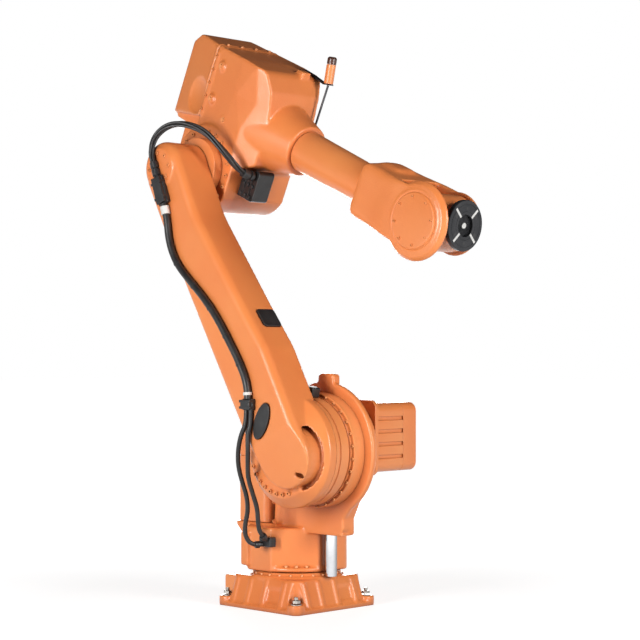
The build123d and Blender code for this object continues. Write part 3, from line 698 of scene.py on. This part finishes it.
def make_harness():
    """Run along the lower arm, the loop over the elbow and the two strands into the turret."""
    arm = fixed_cable("harness_arm_cable", arm_route, harness_radius, "harness_arm_run", "lower_arm_body")
    bands("harness_ties", arm, (0.16, 0.30, 0.45, 0.58, 0.72), harness_radius + 0.9, 7, "lower_arm_body")
    tape = {"material": white, "slot": "connector_metal"}
    bands("harness_white_band", arm, (0.972,), harness_radius + 3.5, 26, "lower_arm_body", **tape)
    bands("harness_low_tag", arm, (0.03,), harness_radius + 2.4, 9, "lower_arm_body", **tape)
    loop = bundle(
        "harness_elbow_cables",
        elbow_route,
        harness_radius,
        "harness_elbow_loop",
        start=elbow_route[1],
        end=elbow_route[-3],
        strands=4,
    )
    bands("harness_loop_sleeve", loop, (0.02, 0.06), harness_radius + 2.6, 20, "lower_arm_body")
    bands("harness_loop_gland", loop, (0.985,), harness_radius + 6, 12, "upper_arm_body")
    bands("harness_loop_boot", loop, (0.95,), harness_radius + 3.5, 26, "upper_arm_body")
    for name, route, node in (
        ("harness_front_cable", front_route, "harness_strand_front"),
        ("harness_rear_cable", rear_route, "harness_strand_rear"),
    ):
        strand = bundle(
            name,
            route,
            strand_radius,
            node,
            start=route[1],
            end=route[-2],
            strands=1,
        )
        bands(name + "_gland", strand, (0.975,), strand_radius + 4, 14, "turret_body")


def make_leads():
    """Leads of the two motors, each from its plug into the turret."""
    lead_routes = {
        "shoulder_motor_lead": [
            (56.7, 264.9, 494.7),
            (56.7, 264.9, 452),
            (50, 258, 404),
            (38, 240, 352),
            (22, 212, 302),
            (6, 184, 262),
            (-4, 154, 238),
            (-4, 112.3, 238),
        ],
        "turning_motor_lead": [
            (-116, 61.3, 477.3),
            (-116, 61.3, 432),
            (-110, 70, 384),
            (-100, 80, 334),
            (-88, 90, 290),
            (-88, 90, 250.3),
        ],
    }
    for node, route in lead_routes.items():
        frames = fixed_cable(node + "_cable", carried(turret_frame, route), lead_radius, node, "turret_body")
        bands(node + "_glands", frames, (0.03, 0.97), lead_radius + 2.5, 12, "turret_body")


# Turret, base and reducer, in millimetres, and the lean of the base's walls in degrees
foot_reach = 216.0
foot_top = 30.0
washer_height = 3.2
turntable_top = 104.0
turntable_screw_reach = 134.0
turret_ring_radius = 131.0
turret_ring_low = 115.5
turret_ring_top = 130.0
turret_screw_reach = 122.5
plate_pad_reach = 172.0
bell_behind_shoulder = 20.0
bell_above_shoulder = 31.0
wall_reach = 172.0
wall_lean = 18.0
reducer_radius = 174.0
reducer_drum_radius = 165.0
reducer_groove_radius = 162.0
reducer_bore = 40.0
reducer_seat = -60.3
reducer_flange_face = -104.3
reducer_screw_reach = 169.2
reducer_end = -172.0


def turret_extra(bm):
    """Foot ring with its bolt ledge, collar of the motor bell, pads on the plate and a rib of the neck."""
    add_drum(bm, turret_frame, turret_ring_radius, turret_ring_low, turret_ring_top, 64, 2)
    bell = axis_y(turret_frame, shoulder_x - bell_behind_shoulder, shoulder_z + bell_above_shoulder)
    add_drum(bm, bell, 100, 60, 92, 64, 3)
    for angle in (60, 150, 205, 250, 300, 340):
        turn = radians(angle)
        x = shoulder_x + plate_pad_reach * cos(turn)
        z = shoulder_z + plate_pad_reach * sin(turn)
        add_drum(bm, axis_y(turret_frame, x, z), 15, -44, -30, 20, 3)
    add_block(bm, turret_frame, (-104, -145, 128), (-70, -120, 232))


def turret_cut(bm):
    """Slot in the lobe and a pocket in the rear of the neck."""
    add_block(bm, tilted(turret_frame, (268, -62, 262), 38, "Y"), (-5, -8, -26), (5, 34, 26))
    add_block(bm, turret_frame, (-130, -96, 146), (-110, -6, 206))


def wall_frame(k, y):
    """Frame on one of the base's four leaning walls, with X out of it and Z up along it."""
    side = Matrix.Rotation(k * pi / 2, 4, "Z")
    return tilted(side, (wall_reach, y, 0), -wall_lean, "Y")


def base_extra(bm):
    """Collar round the turntable, ribs on the four walls and a rim along each side of the foot."""
    add_drum(bm, turret_frame, 146, 90, turntable_top, 64, 4)
    for k in range(4):
        for y in (-112, -52, 16, 96):
            add_block(bm, wall_frame(k, y), (-12, -6, 2), (5, 6, 94))
        add_block(bm, Matrix.Rotation(k * pi / 2, 4, "Z"), (-160, 150, 0), (160, 176, 14))


def base_cut(bm):
    """Shallow pocket between two ribs of each wall."""
    for k in range(4):
        add_block(bm, wall_frame(k, 0), (-3, 26, 26), (12, 86, 74))


def make_base():
    """Base and turret with the floor bolts, two rings of screws and four bolts inside the neck."""
    casting("base_casting", voxel=4.0, rounds=3, extra=base_extra, cut=base_cut)
    casting("turret", voxel=4.4, rounds=3, extra=turret_extra, cut=turret_cut)
    bm = bmesh.new()
    for x, y in ring_points(4, foot_reach):
        place = raised(axis_z(turret_frame, x, y), foot_top)
        add_drum(bm, place, 17, 0.2, washer_height, 28, 0.8)
        add_bolt(bm, raised(place, washer_height), 13, 12, washer=False)
        add_drum(bm, place, 6, 12, 24, 16, 1)
    make_piece("base_bolts", bm, "base", "dark_steel", steel)
    bm = bmesh.new()
    for x, y in ring_points(24, turntable_screw_reach):
        add_socket_screw(bm, raised(axis_z(turret_frame, x, y), turntable_top), 4.2, 6)
    make_piece("turntable_screws", bm, "base", "orange_paint", orange)
    bm = bmesh.new()
    for x, y in ring_points(24, turret_screw_reach, phase=0):
        add_socket_screw(bm, raised(axis_z(turret_frame, x, y), turret_ring_top - screw_sink), 5, 7)
    for z in (267, 327):
        for y in (-96, -6):
            add_bolt(bm, axis_x(turret_frame, y, z), 5, -6)
    make_piece("turret_bolts", bm, "turret_body", "orange_paint", orange)


def make_reducer():
    """Reducer drum with its flange and grooves, the ring of screws and the rubber stop on its rim."""
    center = (shoulder_x, shoulder_z)
    bm = bmesh.new()
    profile = [
        (reducer_radius, reducer_seat),
        (reducer_radius, -101.5),
        (171.5, reducer_flange_face),
        (reducer_drum_radius, reducer_flange_face),
        (reducer_drum_radius, -112),
        (161.5, -113.5),
        (161.5, -118),
        (reducer_drum_radius, -119.5),
        (reducer_drum_radius, -150),
        (reducer_groove_radius, -152),
        (reducer_groove_radius, -156),
        (reducer_drum_radius, -158),
        (reducer_drum_radius, -169),
        (reducer_groove_radius, reducer_end),
        (reducer_bore, reducer_end),
        (reducer_bore, reducer_seat),
    ]
    add_rings(bm, axis_y(turret_frame, *center), profile, 128)
    case = make_piece("shoulder_reducer_case", bm, "turret_body", "orange_paint", orange, smooth_angle=30)
    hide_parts("shoulder_reducer")
    bm = bmesh.new()
    for x, z in ring_points(28, reducer_screw_reach, center):
        add_socket_screw(bm, right_seat(turret_frame, x, z, reducer_flange_face + 0.1), 4.4, 6)
    make_piece("reducer_bolts", bm, "turret_body", "orange_paint", orange)
    bm = bmesh.new()
    turns = [radians(74 + 4 * k) for k in range(9)]
    outline = [
        (shoulder_x + radius * cos(turn), shoulder_z + radius * sin(turn))
        for radius, row in ((reducer_drum_radius - 0.5, turns), (196, reversed(turns)))
        for turn in row
    ]
    add_prism(bm, turret_frame, outline, -157, -122)
    make_piece("reducer_bumper", bm, "turret_body", "black_rubber", rubber, bevel=5.0)


# Lower arm with its plugs and clamps, in millimetres
arm_inner = -166.0
foot_disc_seat = -236.7
foot_screw_reach = 126.0
foot_column = (38.0, -30.0)
foot_column_clear = 112.0
groove_radius = 101.0
groove_start = -100.0
groove_step = 11.2
groove_links = 14
head_pad = (-20.0, 1000.0)
head_pad_radius = 62.0
head_pad_face = -300.0
head_screw_reach = 46.0


def arm_extra(bm):
    """Round pads and ribs on the inner side of the lower arm, and the pad on its head."""
    for x, z in ((-70, 70), (66, 150), (-88, 330), (74, 430)):
        add_drum(bm, axis_y(arm_frame, x, z), 13, arm_inner - 6, arm_inner + 3, 20, 2)
    for low, high in ((330, 420), (540, 760)):
        for x in (-30, 22):
            add_block(bm, arm_frame, (x, arm_inner - 6, low), (x + 10, arm_inner + 8, high))
    add_drum(bm, axis_y(arm_frame, *head_pad), head_pad_radius, head_pad_face, -280, 48, 4)


def arm_cut(bm):
    """Crescent groove round the foot column, in straight links, and a slot under it."""
    points = []
    for k in range(groove_links + 1):
        turn = radians(groove_start + groove_step * k)
        x = foot_column[0] + groove_radius * cos(turn)
        z = foot_column[1] + groove_radius * sin(turn)
        points.append((x, z))
    for (x0, z0), (x1, z1) in zip(points, points[1:]):
        angle = atan2(x1 - x0, z1 - z0)
        place = arm_frame @ Matrix.Translation(Vector(((x0 + x1) / 2, 0, (z0 + z1) / 2)) * MM)
        add_block(bm, place @ Matrix.Rotation(angle, 4, "Y"), (-6.5, -262, -11.5), (6.5, -208, 11.5))
    add_block(bm, tilted(arm_frame, (62, 0, -104), -50, "Y"), (-6, -300, -16), (6, -236, 16))


def make_lower_arm():
    """Lower arm with its screws, plugs and clamps."""
    casting("lower_arm", voxel=4.4, rounds=3, extra=arm_extra, cut=arm_cut)
    bm = bmesh.new()
    for x, z in ring_points(30, foot_screw_reach):
        beside = (x - foot_column[0]) ** 2 + (z - foot_column[1]) ** 2 > foot_column_clear ** 2
        if beside and z < 20:
            add_socket_screw(bm, right_seat(arm_frame, x, z, foot_disc_seat), 6, 8)
    for x, z in ring_points(8, head_screw_reach, head_pad):
        add_socket_screw(bm, right_seat(arm_frame, x, z, head_pad_face + screw_sink), 5.5, 5)
    make_piece("lower_arm_bolts", bm, "lower_arm_body", "orange_paint", orange)
    for name in ("arm_oval_plug", "arm_front_plug"):
        dressed(name, plastic, "black_plastic", 1.5)
    for name in ("arm_inner_plug", *(f"arm_round_plug_{k}" for k in range(1, 5))):
        dressed(name, pale, "pale_plastic", 1.5)
    dressed("elbow_reducer", orange, "orange_paint", 2.0)
    make_clamp("harness_clamp_low", low_clamp, low_clamp_length)
    make_clamp("harness_clamp_high", high_clamp, high_clamp_length)


def make_clamp(name, place, length):
    """Clamp block with a narrower cap, two straps over it and their screws."""
    half = length / 2
    bm = bmesh.new()
    add_block(bm, place, (-22, -14, -half), (22, 0, half))
    add_block(bm, place, (-19, -25.5, -half + 3), (19, -13, half - 3))
    block = make_piece(name + "_block", bm, "lower_arm_body", "black_plastic", plastic, bevel=3.0)
    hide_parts(name)
    bm = bmesh.new()
    for z in (-half * 0.55, half * 0.55):
        add_block(bm, place, (-22.4, -25.9, z - 4), (22.4, -1, z + 4))
        for x in (-13, 13):
            add_socket_screw(bm, right_seat(place, x, z, -23.4), 3.4, 2.4)
    make_piece(name + "_straps", bm, "lower_arm_body", "black_plastic", plastic, bevel=0.8)


# Elbow housing, its cover and the lamp, in millimetres
housing_side = 132.0
facet_rim = housing_side + 0.5
hub_screw_reach = 118.0
housing_pads = ((-54, 324), (-60, 214), (26, 172))
right_pad_face = -131.0
left_pad_face = 135.0
left_ring_face = 137.0
left_ring_screw_reach = 82.0
seam_front = -86.0
seam_rear = -100.0
seam_screw_x = -93.0
seam_foot = 150.0
seam_top = 384.0


def housing_extra(bm):
    """Raised seam rim, pads of both sides, the ring of the left side and the ear of the lamp."""
    add_block(bm, elbow_frame, (seam_rear, -123.5, seam_foot), (seam_front, -112, 360))
    add_block(bm, elbow_frame, (seam_rear, 120, seam_foot), (seam_front, 136, 360))
    add_block(bm, elbow_frame, (seam_rear, -110, 368), (seam_front, 120, seam_top))
    for x, z in housing_pads:
        add_drum(bm, axis_y(elbow_frame, x, z), 15, right_pad_face, -110, 24, 3)
        add_drum(bm, axis_y(elbow_frame, x, z), 15, 110, left_pad_face, 24, 3)
    add_drum(bm, axis_y(elbow_frame, 0, 0), 96, 126, left_ring_face, 64, 3)
    add_block(bm, elbow_frame, (112, 30, 352), (146, 66, 388))


def housing_cut(bm):
    """Two facets on each side, from the knee of their common edge to the front."""
    knee = Vector((48, facet_rim, 267))
    ahead = Vector((152, -22, -4))
    for side in (-1, 1):
        for x, z in ((134, 434), (142, 98)):
            far_end = Vector((x, facet_rim, z))
            rim = [knee, far_end, far_end + ahead, knee + ahead]
            points = [(x, side * y, z) for x, y, z in rim] + [(x, side * 175, z) for x, y, z in rim]
            add_hull(bm, elbow_frame, points)


def cover_extra(bm):
    """Ridge of the rear cover along the seam, and the skirt below its right side."""
    add_block(bm, elbow_frame, (-112, -121.5, seam_foot), (-100.5, -108, 372))
    add_block(bm, elbow_frame, (-112, 118, seam_foot), (-100.5, 135, 372))
    add_block(bm, elbow_frame, (-112, -108, 366), (-100.5, 118, seam_top))
    skirt = [(-100.4, 150), (-280, 108), (-262, 88), (-160, 84), (-122, 92), (-110, 106), (-100.4, 118)]
    add_prism(bm, elbow_frame, skirt, -64, 40)


def cover_cut(bm):
    """Dish in the cover's right side and a recessed field in its back."""
    dish = tilted(elbow_frame, (-150, -105, 196), -14.6, "Z") @ Matrix.Rotation(-pi / 2, 4, "X")
    add_dome(bm, dish, 60, 11)
    add_block(bm, elbow_frame, (-330, 40, -20), (-314, 110, 80))


def make_elbow():
    """Housing and cover with their screws, the cable box and the lamp."""
    casting("elbow_housing", voxel=4.2, rounds=3, extra=housing_extra, cut=housing_cut)
    casting("elbow_rear_cover", voxel=4.2, rounds=4, extra=cover_extra, cut=cover_cut)
    bm = bmesh.new()
    for z in (170, 214, 258, 302, 346):
        add_socket_screw(bm, right_seat(elbow_frame, seam_screw_x, z, -123), 4.5, 5)
        add_socket_screw(bm, left_seat(elbow_frame, seam_screw_x, z, 135.5), 4.5, 5)
    for y in (-90, -30, 30, 90):
        add_socket_screw(bm, raised(axis_z(elbow_frame, seam_screw_x, y), seam_top - 0.4), 4.5, 5)
    for x, z in ring_points(20, hub_screw_reach):
        add_socket_screw(bm, right_seat(elbow_frame, x, z, -housing_side + screw_sink), 5.5, 7)
    for x, z in ring_points(12, left_ring_screw_reach):
        add_socket_screw(bm, left_seat(elbow_frame, x, z, left_ring_face - screw_sink), 5.5, 6)
    for x, z in housing_pads:
        add_bolt(bm, right_seat(elbow_frame, x, z, right_pad_face + screw_sink), 7, 6)
        add_bolt(bm, left_seat(elbow_frame, x, z, left_pad_face - screw_sink), 7, 6)
    make_piece("elbow_bolts", bm, "upper_arm_body", "orange_paint", orange)
    make_bracket()
    dressed("lamp_body", orange, "orange_paint", 1.0)
    dressed("lamp_lens", lens, "lamp_plastic", 1.5)
    dressed("lamp_strap", dark_steel, "dark_steel", 0.8)
    dressed("lamp_conduit", dark_steel, "dark_steel", 0)


def make_bracket():
    """Cable box ahead of the elbow's hub, with its ribs and glands."""
    dressed("harness_bracket", plastic, "black_plastic", 2.5)
    bm = bmesh.new()
    for x in (150, 178):
        add_block(bm, elbow_frame, (x - 3, -80.5, -30), (x + 3, -9.5, 30))
    for x in (146, 166, 186):
        for z in (-22, 12):
            add_drum(bm, right_seat(elbow_frame, x, z, -78), 7, 0, 6, 16, 1.5)
    make_piece("harness_bracket_ribs", bm, "upper_arm_body", "black_plastic", plastic, bevel=0.8)


# Forearm, wrist and tool flange, in millimetres
cheek_face = -100.0
cheek_ring = (91.0, 84.0)
cover_screw_seat = 106.2
cover_screw_reach = 70.0
collar_screw_reach = 74.0
collar_face = 621.0
tube_profile = [(64, 292.6), (66, 295), (60, 603), (59, 640)]
fork_root = ((590, -130, -120), (790, 130, 300))
flange_radius = 74.0
flange_rear = 94.0
flange_face = 110.0
flange_floor = 102.0
flange_bore = 31.5
flange_hub = 50.0
flange_hub_end = 86.6
flange_bolt_reach = 50.0
flange_bolt_hole = 4.3


def fork_extra(bm):
    """Raised lid on the fork's root and the ring on its right cheek."""
    add_block(bm, elbow_frame, (634, -44, 240), (712, 44, 274))
    outer, inner = cheek_ring
    crown = cheek_face - 3
    profile = [(outer, cheek_face), (outer, crown), (inner, crown), (inner, cheek_face)]
    add_rings(bm, axis_y(elbow_frame, wrist_place.x, wrist_place.z), profile, 72, closed=True)


def fork_cut(bm):
    """Narrow mark on the right cheek, behind the cover."""
    add_block(bm, tilted(elbow_frame, (716, 0, 190), 24, "Y"), (-3, -108, -17), (3, -91, 17))


def make_wrist():
    """Forearm tube, wrist fork with its covers and screws, and the tilting housing with the flange."""
    bm = bmesh.new()
    add_rings(bm, axis_x(elbow_frame, 0, wrist_place.z), tube_profile, 96)
    tube = make_piece("forearm_tube_skin", bm, "forearm_body", "orange_paint", orange)
    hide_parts("forearm_tube")
    soft_zone = (elbow_frame, *fork_root, 120)
    casting("wrist_fork", voxel=3.4, rounds=8, extra=fork_extra, cut=fork_cut, soft_zone=soft_zone)
    casting("tilt_housing", voxel=3.2, rounds=2)
    for name in ("wrist_cover_left", "wrist_cover_right"):
        dressed(name, orange, "orange_paint", 1.2)
    bm = bmesh.new()
    for x, z in ring_points(8, cover_screw_reach, (wrist_place.x, wrist_place.z)):
        add_socket_screw(bm, right_seat(elbow_frame, x, z, -cover_screw_seat), 4, 4)
        add_socket_screw(bm, left_seat(elbow_frame, x, z, cover_screw_seat), 4, 4)
    for y, z in ring_points(8, collar_screw_reach, (0, wrist_place.z)):
        add_socket_screw(bm, raised(axis_x(elbow_frame, y, z), collar_face), 3.6, 5)
    make_piece("wrist_bolts", bm, "forearm_body", "orange_paint", orange)
    make_flange()


def make_flange():
    """Tool flange: a turned disc with two grooves, pale marks between its holes, dark discs as the painted shade
    of the holes, and a bright centre.
    """
    place = wrist_frame @ Matrix.Rotation(pi / 2, 4, "Y")
    profile = [
        (flange_bore, flange_floor),
        (flange_bore, flange_face - 1),
        (flange_bore + 1, flange_face),
        (40, flange_face),
        (40.5, flange_face - 0.6),
        (42, flange_face - 0.6),
        (42.5, flange_face),
        (60, flange_face),
        (60.5, flange_face - 0.8),
        (62.5, flange_face - 0.8),
        (63, flange_face),
        (flange_radius - 1.5, flange_face),
        (flange_radius, flange_face - 1.5),
        (flange_radius, flange_rear + 2),
        (flange_radius - 1.5, flange_rear),
        (flange_hub, flange_rear),
        (flange_hub, flange_hub_end),
        (12, flange_hub_end),
        (12, flange_floor - 1),
        (8, flange_floor),
    ]
    bm = bmesh.new()
    add_rings(bm, place, profile, 96, closed=True)
    add_drum(bm, place, flange_bore + 0.1, 96, flange_floor, 64)
    disc = make_piece("tool_flange_disc", bm, "flange_body", "dark_steel", dark_steel, smooth_angle=30)
    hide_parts("tool_flange")
    bm = bmesh.new()
    for k in range(4):
        mark = place @ Matrix.Rotation(pi / 4 + k * pi / 2, 4, "Z")
        add_block(bm, mark, (33, -3.6, flange_face - 0.1), (66, 3.6, flange_face + 0.4))
    add_drum(bm, place, 9, flange_floor - 0.5, flange_floor + 3, 24, 1)
    make_piece("tool_flange_marks", bm, "flange_body", "connector_metal", bright)
    # Painted shade: dark discs stand in for the shade inside the six bolt holes
    bm = bmesh.new()
    for k in range(6):
        turned = place @ Matrix.Rotation(k * pi / 3, 4, "Z")
        hole = turned @ Matrix.Translation((flange_bolt_reach * MM, 0, 0))
        add_drum(bm, hole, flange_bolt_hole, flange_face - 5, flange_face + 0.1, 20)
    make_piece("tool_flange_hole_shade", bm, "flange_body", "dark_steel", rubber)


# Motors and their plugs, with the width of each piece's broken edges in millimetres
motor_edges = {
    "shoulder_motor_flange": 2.5,
    "shoulder_motor": 1.2,
    "shoulder_motor_cap": 2.0,
    "turning_motor": 3.0,
    "turning_motor_cap": 2.5,
    "cable_entry_box": 3.0,
}


def inset_corners(low, high, inset):
    """Corners of the rectangle between two points, drawn in on each side."""
    return [(x, y) for x in (low[0] + inset, high[0] - inset) for y in (low[1] + inset, high[1] - inset)]


def make_motors():
    """Motors, their plugs, the entry box and the stop pin, with the bolts of two flanges."""
    for name, width in motor_edges.items():
        dressed(name, orange, "orange_paint", width)
    dressed("stop_pin", chrome, "polished_steel", 1.5)
    for name in ("shoulder_motor_plug", "turning_motor_plug", "turret_connector"):
        dressed(name, plastic, "black_plastic", 3.0)
    sunk = 0.3 * MM
    bm = bmesh.new()
    low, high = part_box("shoulder_motor_flange")
    for x, z in inset_corners(low.xz, high.xz, 16 * MM):
        place = Matrix.Translation((x, high.y - sunk, z)) @ Matrix.Rotation(-pi / 2, 4, "X")
        add_bolt(bm, place, 7, 8)
    low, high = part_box("turning_motor_cap")
    for x, y in inset_corners(low.xy, high.xy, 14 * MM):
        add_socket_screw(bm, Matrix.Translation((x, y, high.z - sunk)), 4.5, 4)
    make_piece("motor_bolts", bm, "turret_body", "orange_paint", orange)


# Floor, backdrop and light, in metres, watts and shares of white
floor_reach = 30.0
floor_colour = (0.45, 0.45, 0.45)
floor_glow_reach = (0.8, 2.6)
floor_glow = (0.74, 1.0)
horizon_height = (0.02, 0.26)
horizon_strength = (0.95, 0.04)
horizon_share = (0.42, 1.0)
robot_middle = (0.1, -0.1, 0.9)
robot_rear = (0.0, 0.0, 0.9)


def maximum(nodes, links, first, second):
    """The larger of two sockets, as a socket."""
    larger = nodes.new("ShaderNodeMath")
    larger.operation = "MAXIMUM"
    links.new(first, larger.inputs[0])
    links.new(second, larger.inputs[1])
    return larger.outputs[0]


def either_ray(nodes, links, *names):
    """1 on rays of any of these kinds, else 0."""
    light_path = nodes.new("ShaderNodeLightPath")
    seen = light_path.outputs[names[0]]
    for name in names[1:]:
        seen = maximum(nodes, links, seen, light_path.outputs[name])
    return seen


def make_floor():
    """Pale floor: it glows on the rays that see it, more so away from the robot, and keeps the shadow."""
    material, nodes, links, shader = new_material("white_stage")
    shadow = nodes.new("ShaderNodeBsdfDiffuse")
    shadow.inputs["Color"].default_value = (*floor_colour, 1)
    distance = nodes.new("ShaderNodeVectorMath")
    distance.operation = "LENGTH"
    links.new(nodes.new("ShaderNodeNewGeometry").outputs["Position"], distance.inputs[0])
    strength = map_range(nodes, links, distance.outputs["Value"], floor_glow_reach, floor_glow)
    glow = nodes.new("ShaderNodeEmission")
    glow.inputs["Color"].default_value = (1, 1, 1, 1)
    links.new(strength, glow.inputs["Strength"])
    add = nodes.new("ShaderNodeAddShader")
    links.new(shadow.outputs[0], add.inputs[0])
    links.new(glow.outputs[0], add.inputs[1])
    seen = either_ray(nodes, links, "Is Camera Ray", "Is Glossy Ray", "Is Transmission Ray")
    mix = nodes.new("ShaderNodeMixShader")
    links.new(seen, mix.inputs["Fac"])
    links.new(shadow.outputs[0], mix.inputs[1])
    links.new(add.outputs[0], mix.inputs[2])
    nodes.remove(shader)
    links.new(mix.outputs[0], nodes["Material Output"].inputs["Surface"])
    bm = bmesh.new()
    reach = floor_reach
    rim = ((-reach, -reach, 0), (reach, -reach, 0), (reach, reach, 0), (-reach, reach, 0))
    bm.faces.new([bm.verts.new(point) for point in rim])
    make_piece("floor", bm, None, None, material)


def make_backdrop():
    """World: white where the camera sees it, and a soft horizon that fades upwards on all other rays."""
    world = bpy.data.worlds.new("world")
    bpy.context.scene.world = world
    world.use_nodes = True
    nodes, links = world.node_tree.nodes, world.node_tree.links
    apart = nodes.new("ShaderNodeSeparateXYZ")
    links.new(nodes.new("ShaderNodeTexCoord").outputs["Generated"], apart.inputs[0])
    horizon = map_range(nodes, links, apart.outputs["Z"], horizon_height, horizon_strength)
    mirrored = either_ray(nodes, links, "Is Glossy Ray", "Is Transmission Ray")
    share = map_range(nodes, links, mirrored, (0.0, 1.0), horizon_share)
    strength = nodes.new("ShaderNodeMath")
    strength.operation = "MULTIPLY"
    links.new(horizon, strength.inputs[0])
    links.new(share, strength.inputs[1])
    sky = nodes["Background"]
    sky.inputs["Color"].default_value = (1, 1, 1, 1)
    seen = either_ray(nodes, links, "Is Camera Ray")
    links.new(maximum(nodes, links, strength.outputs[0], seen), sky.inputs["Strength"])


def area_light(name, place, target, size, power):
    """Rectangular lamp that points at a target."""
    data = bpy.data.lights.new(name, "AREA")
    data.shape = "RECTANGLE"
    data.size, data.size_y = size
    data.energy = power
    light = bpy.data.objects.new(name, data)
    light.location = place
    light.rotation_euler = (Vector(target) - Vector(place)).to_track_quat("-Z", "Y").to_euler()
    bpy.context.scene.collection.objects.link(light)


def make_lights():
    area_light("key", (3.9, 0.2, 1.5), robot_middle, size=(1.0, 1.6), power=105)
    area_light("fill", (0.4, -4.0, 1.3), robot_middle, size=(1.0, 1.8), power=130)
    area_light("rim", (-3.1, 2.9, 1.3), robot_rear, size=(1.6, 1.6), power=110)


make_camera()
make_harness()
make_leads()
make_base()
make_reducer()
make_lower_arm()
make_elbow()
make_wrist()
make_motors()
make_floor()
make_backdrop()
make_lights()

bpy.context.scene.view_settings.view_transform = "Standard"
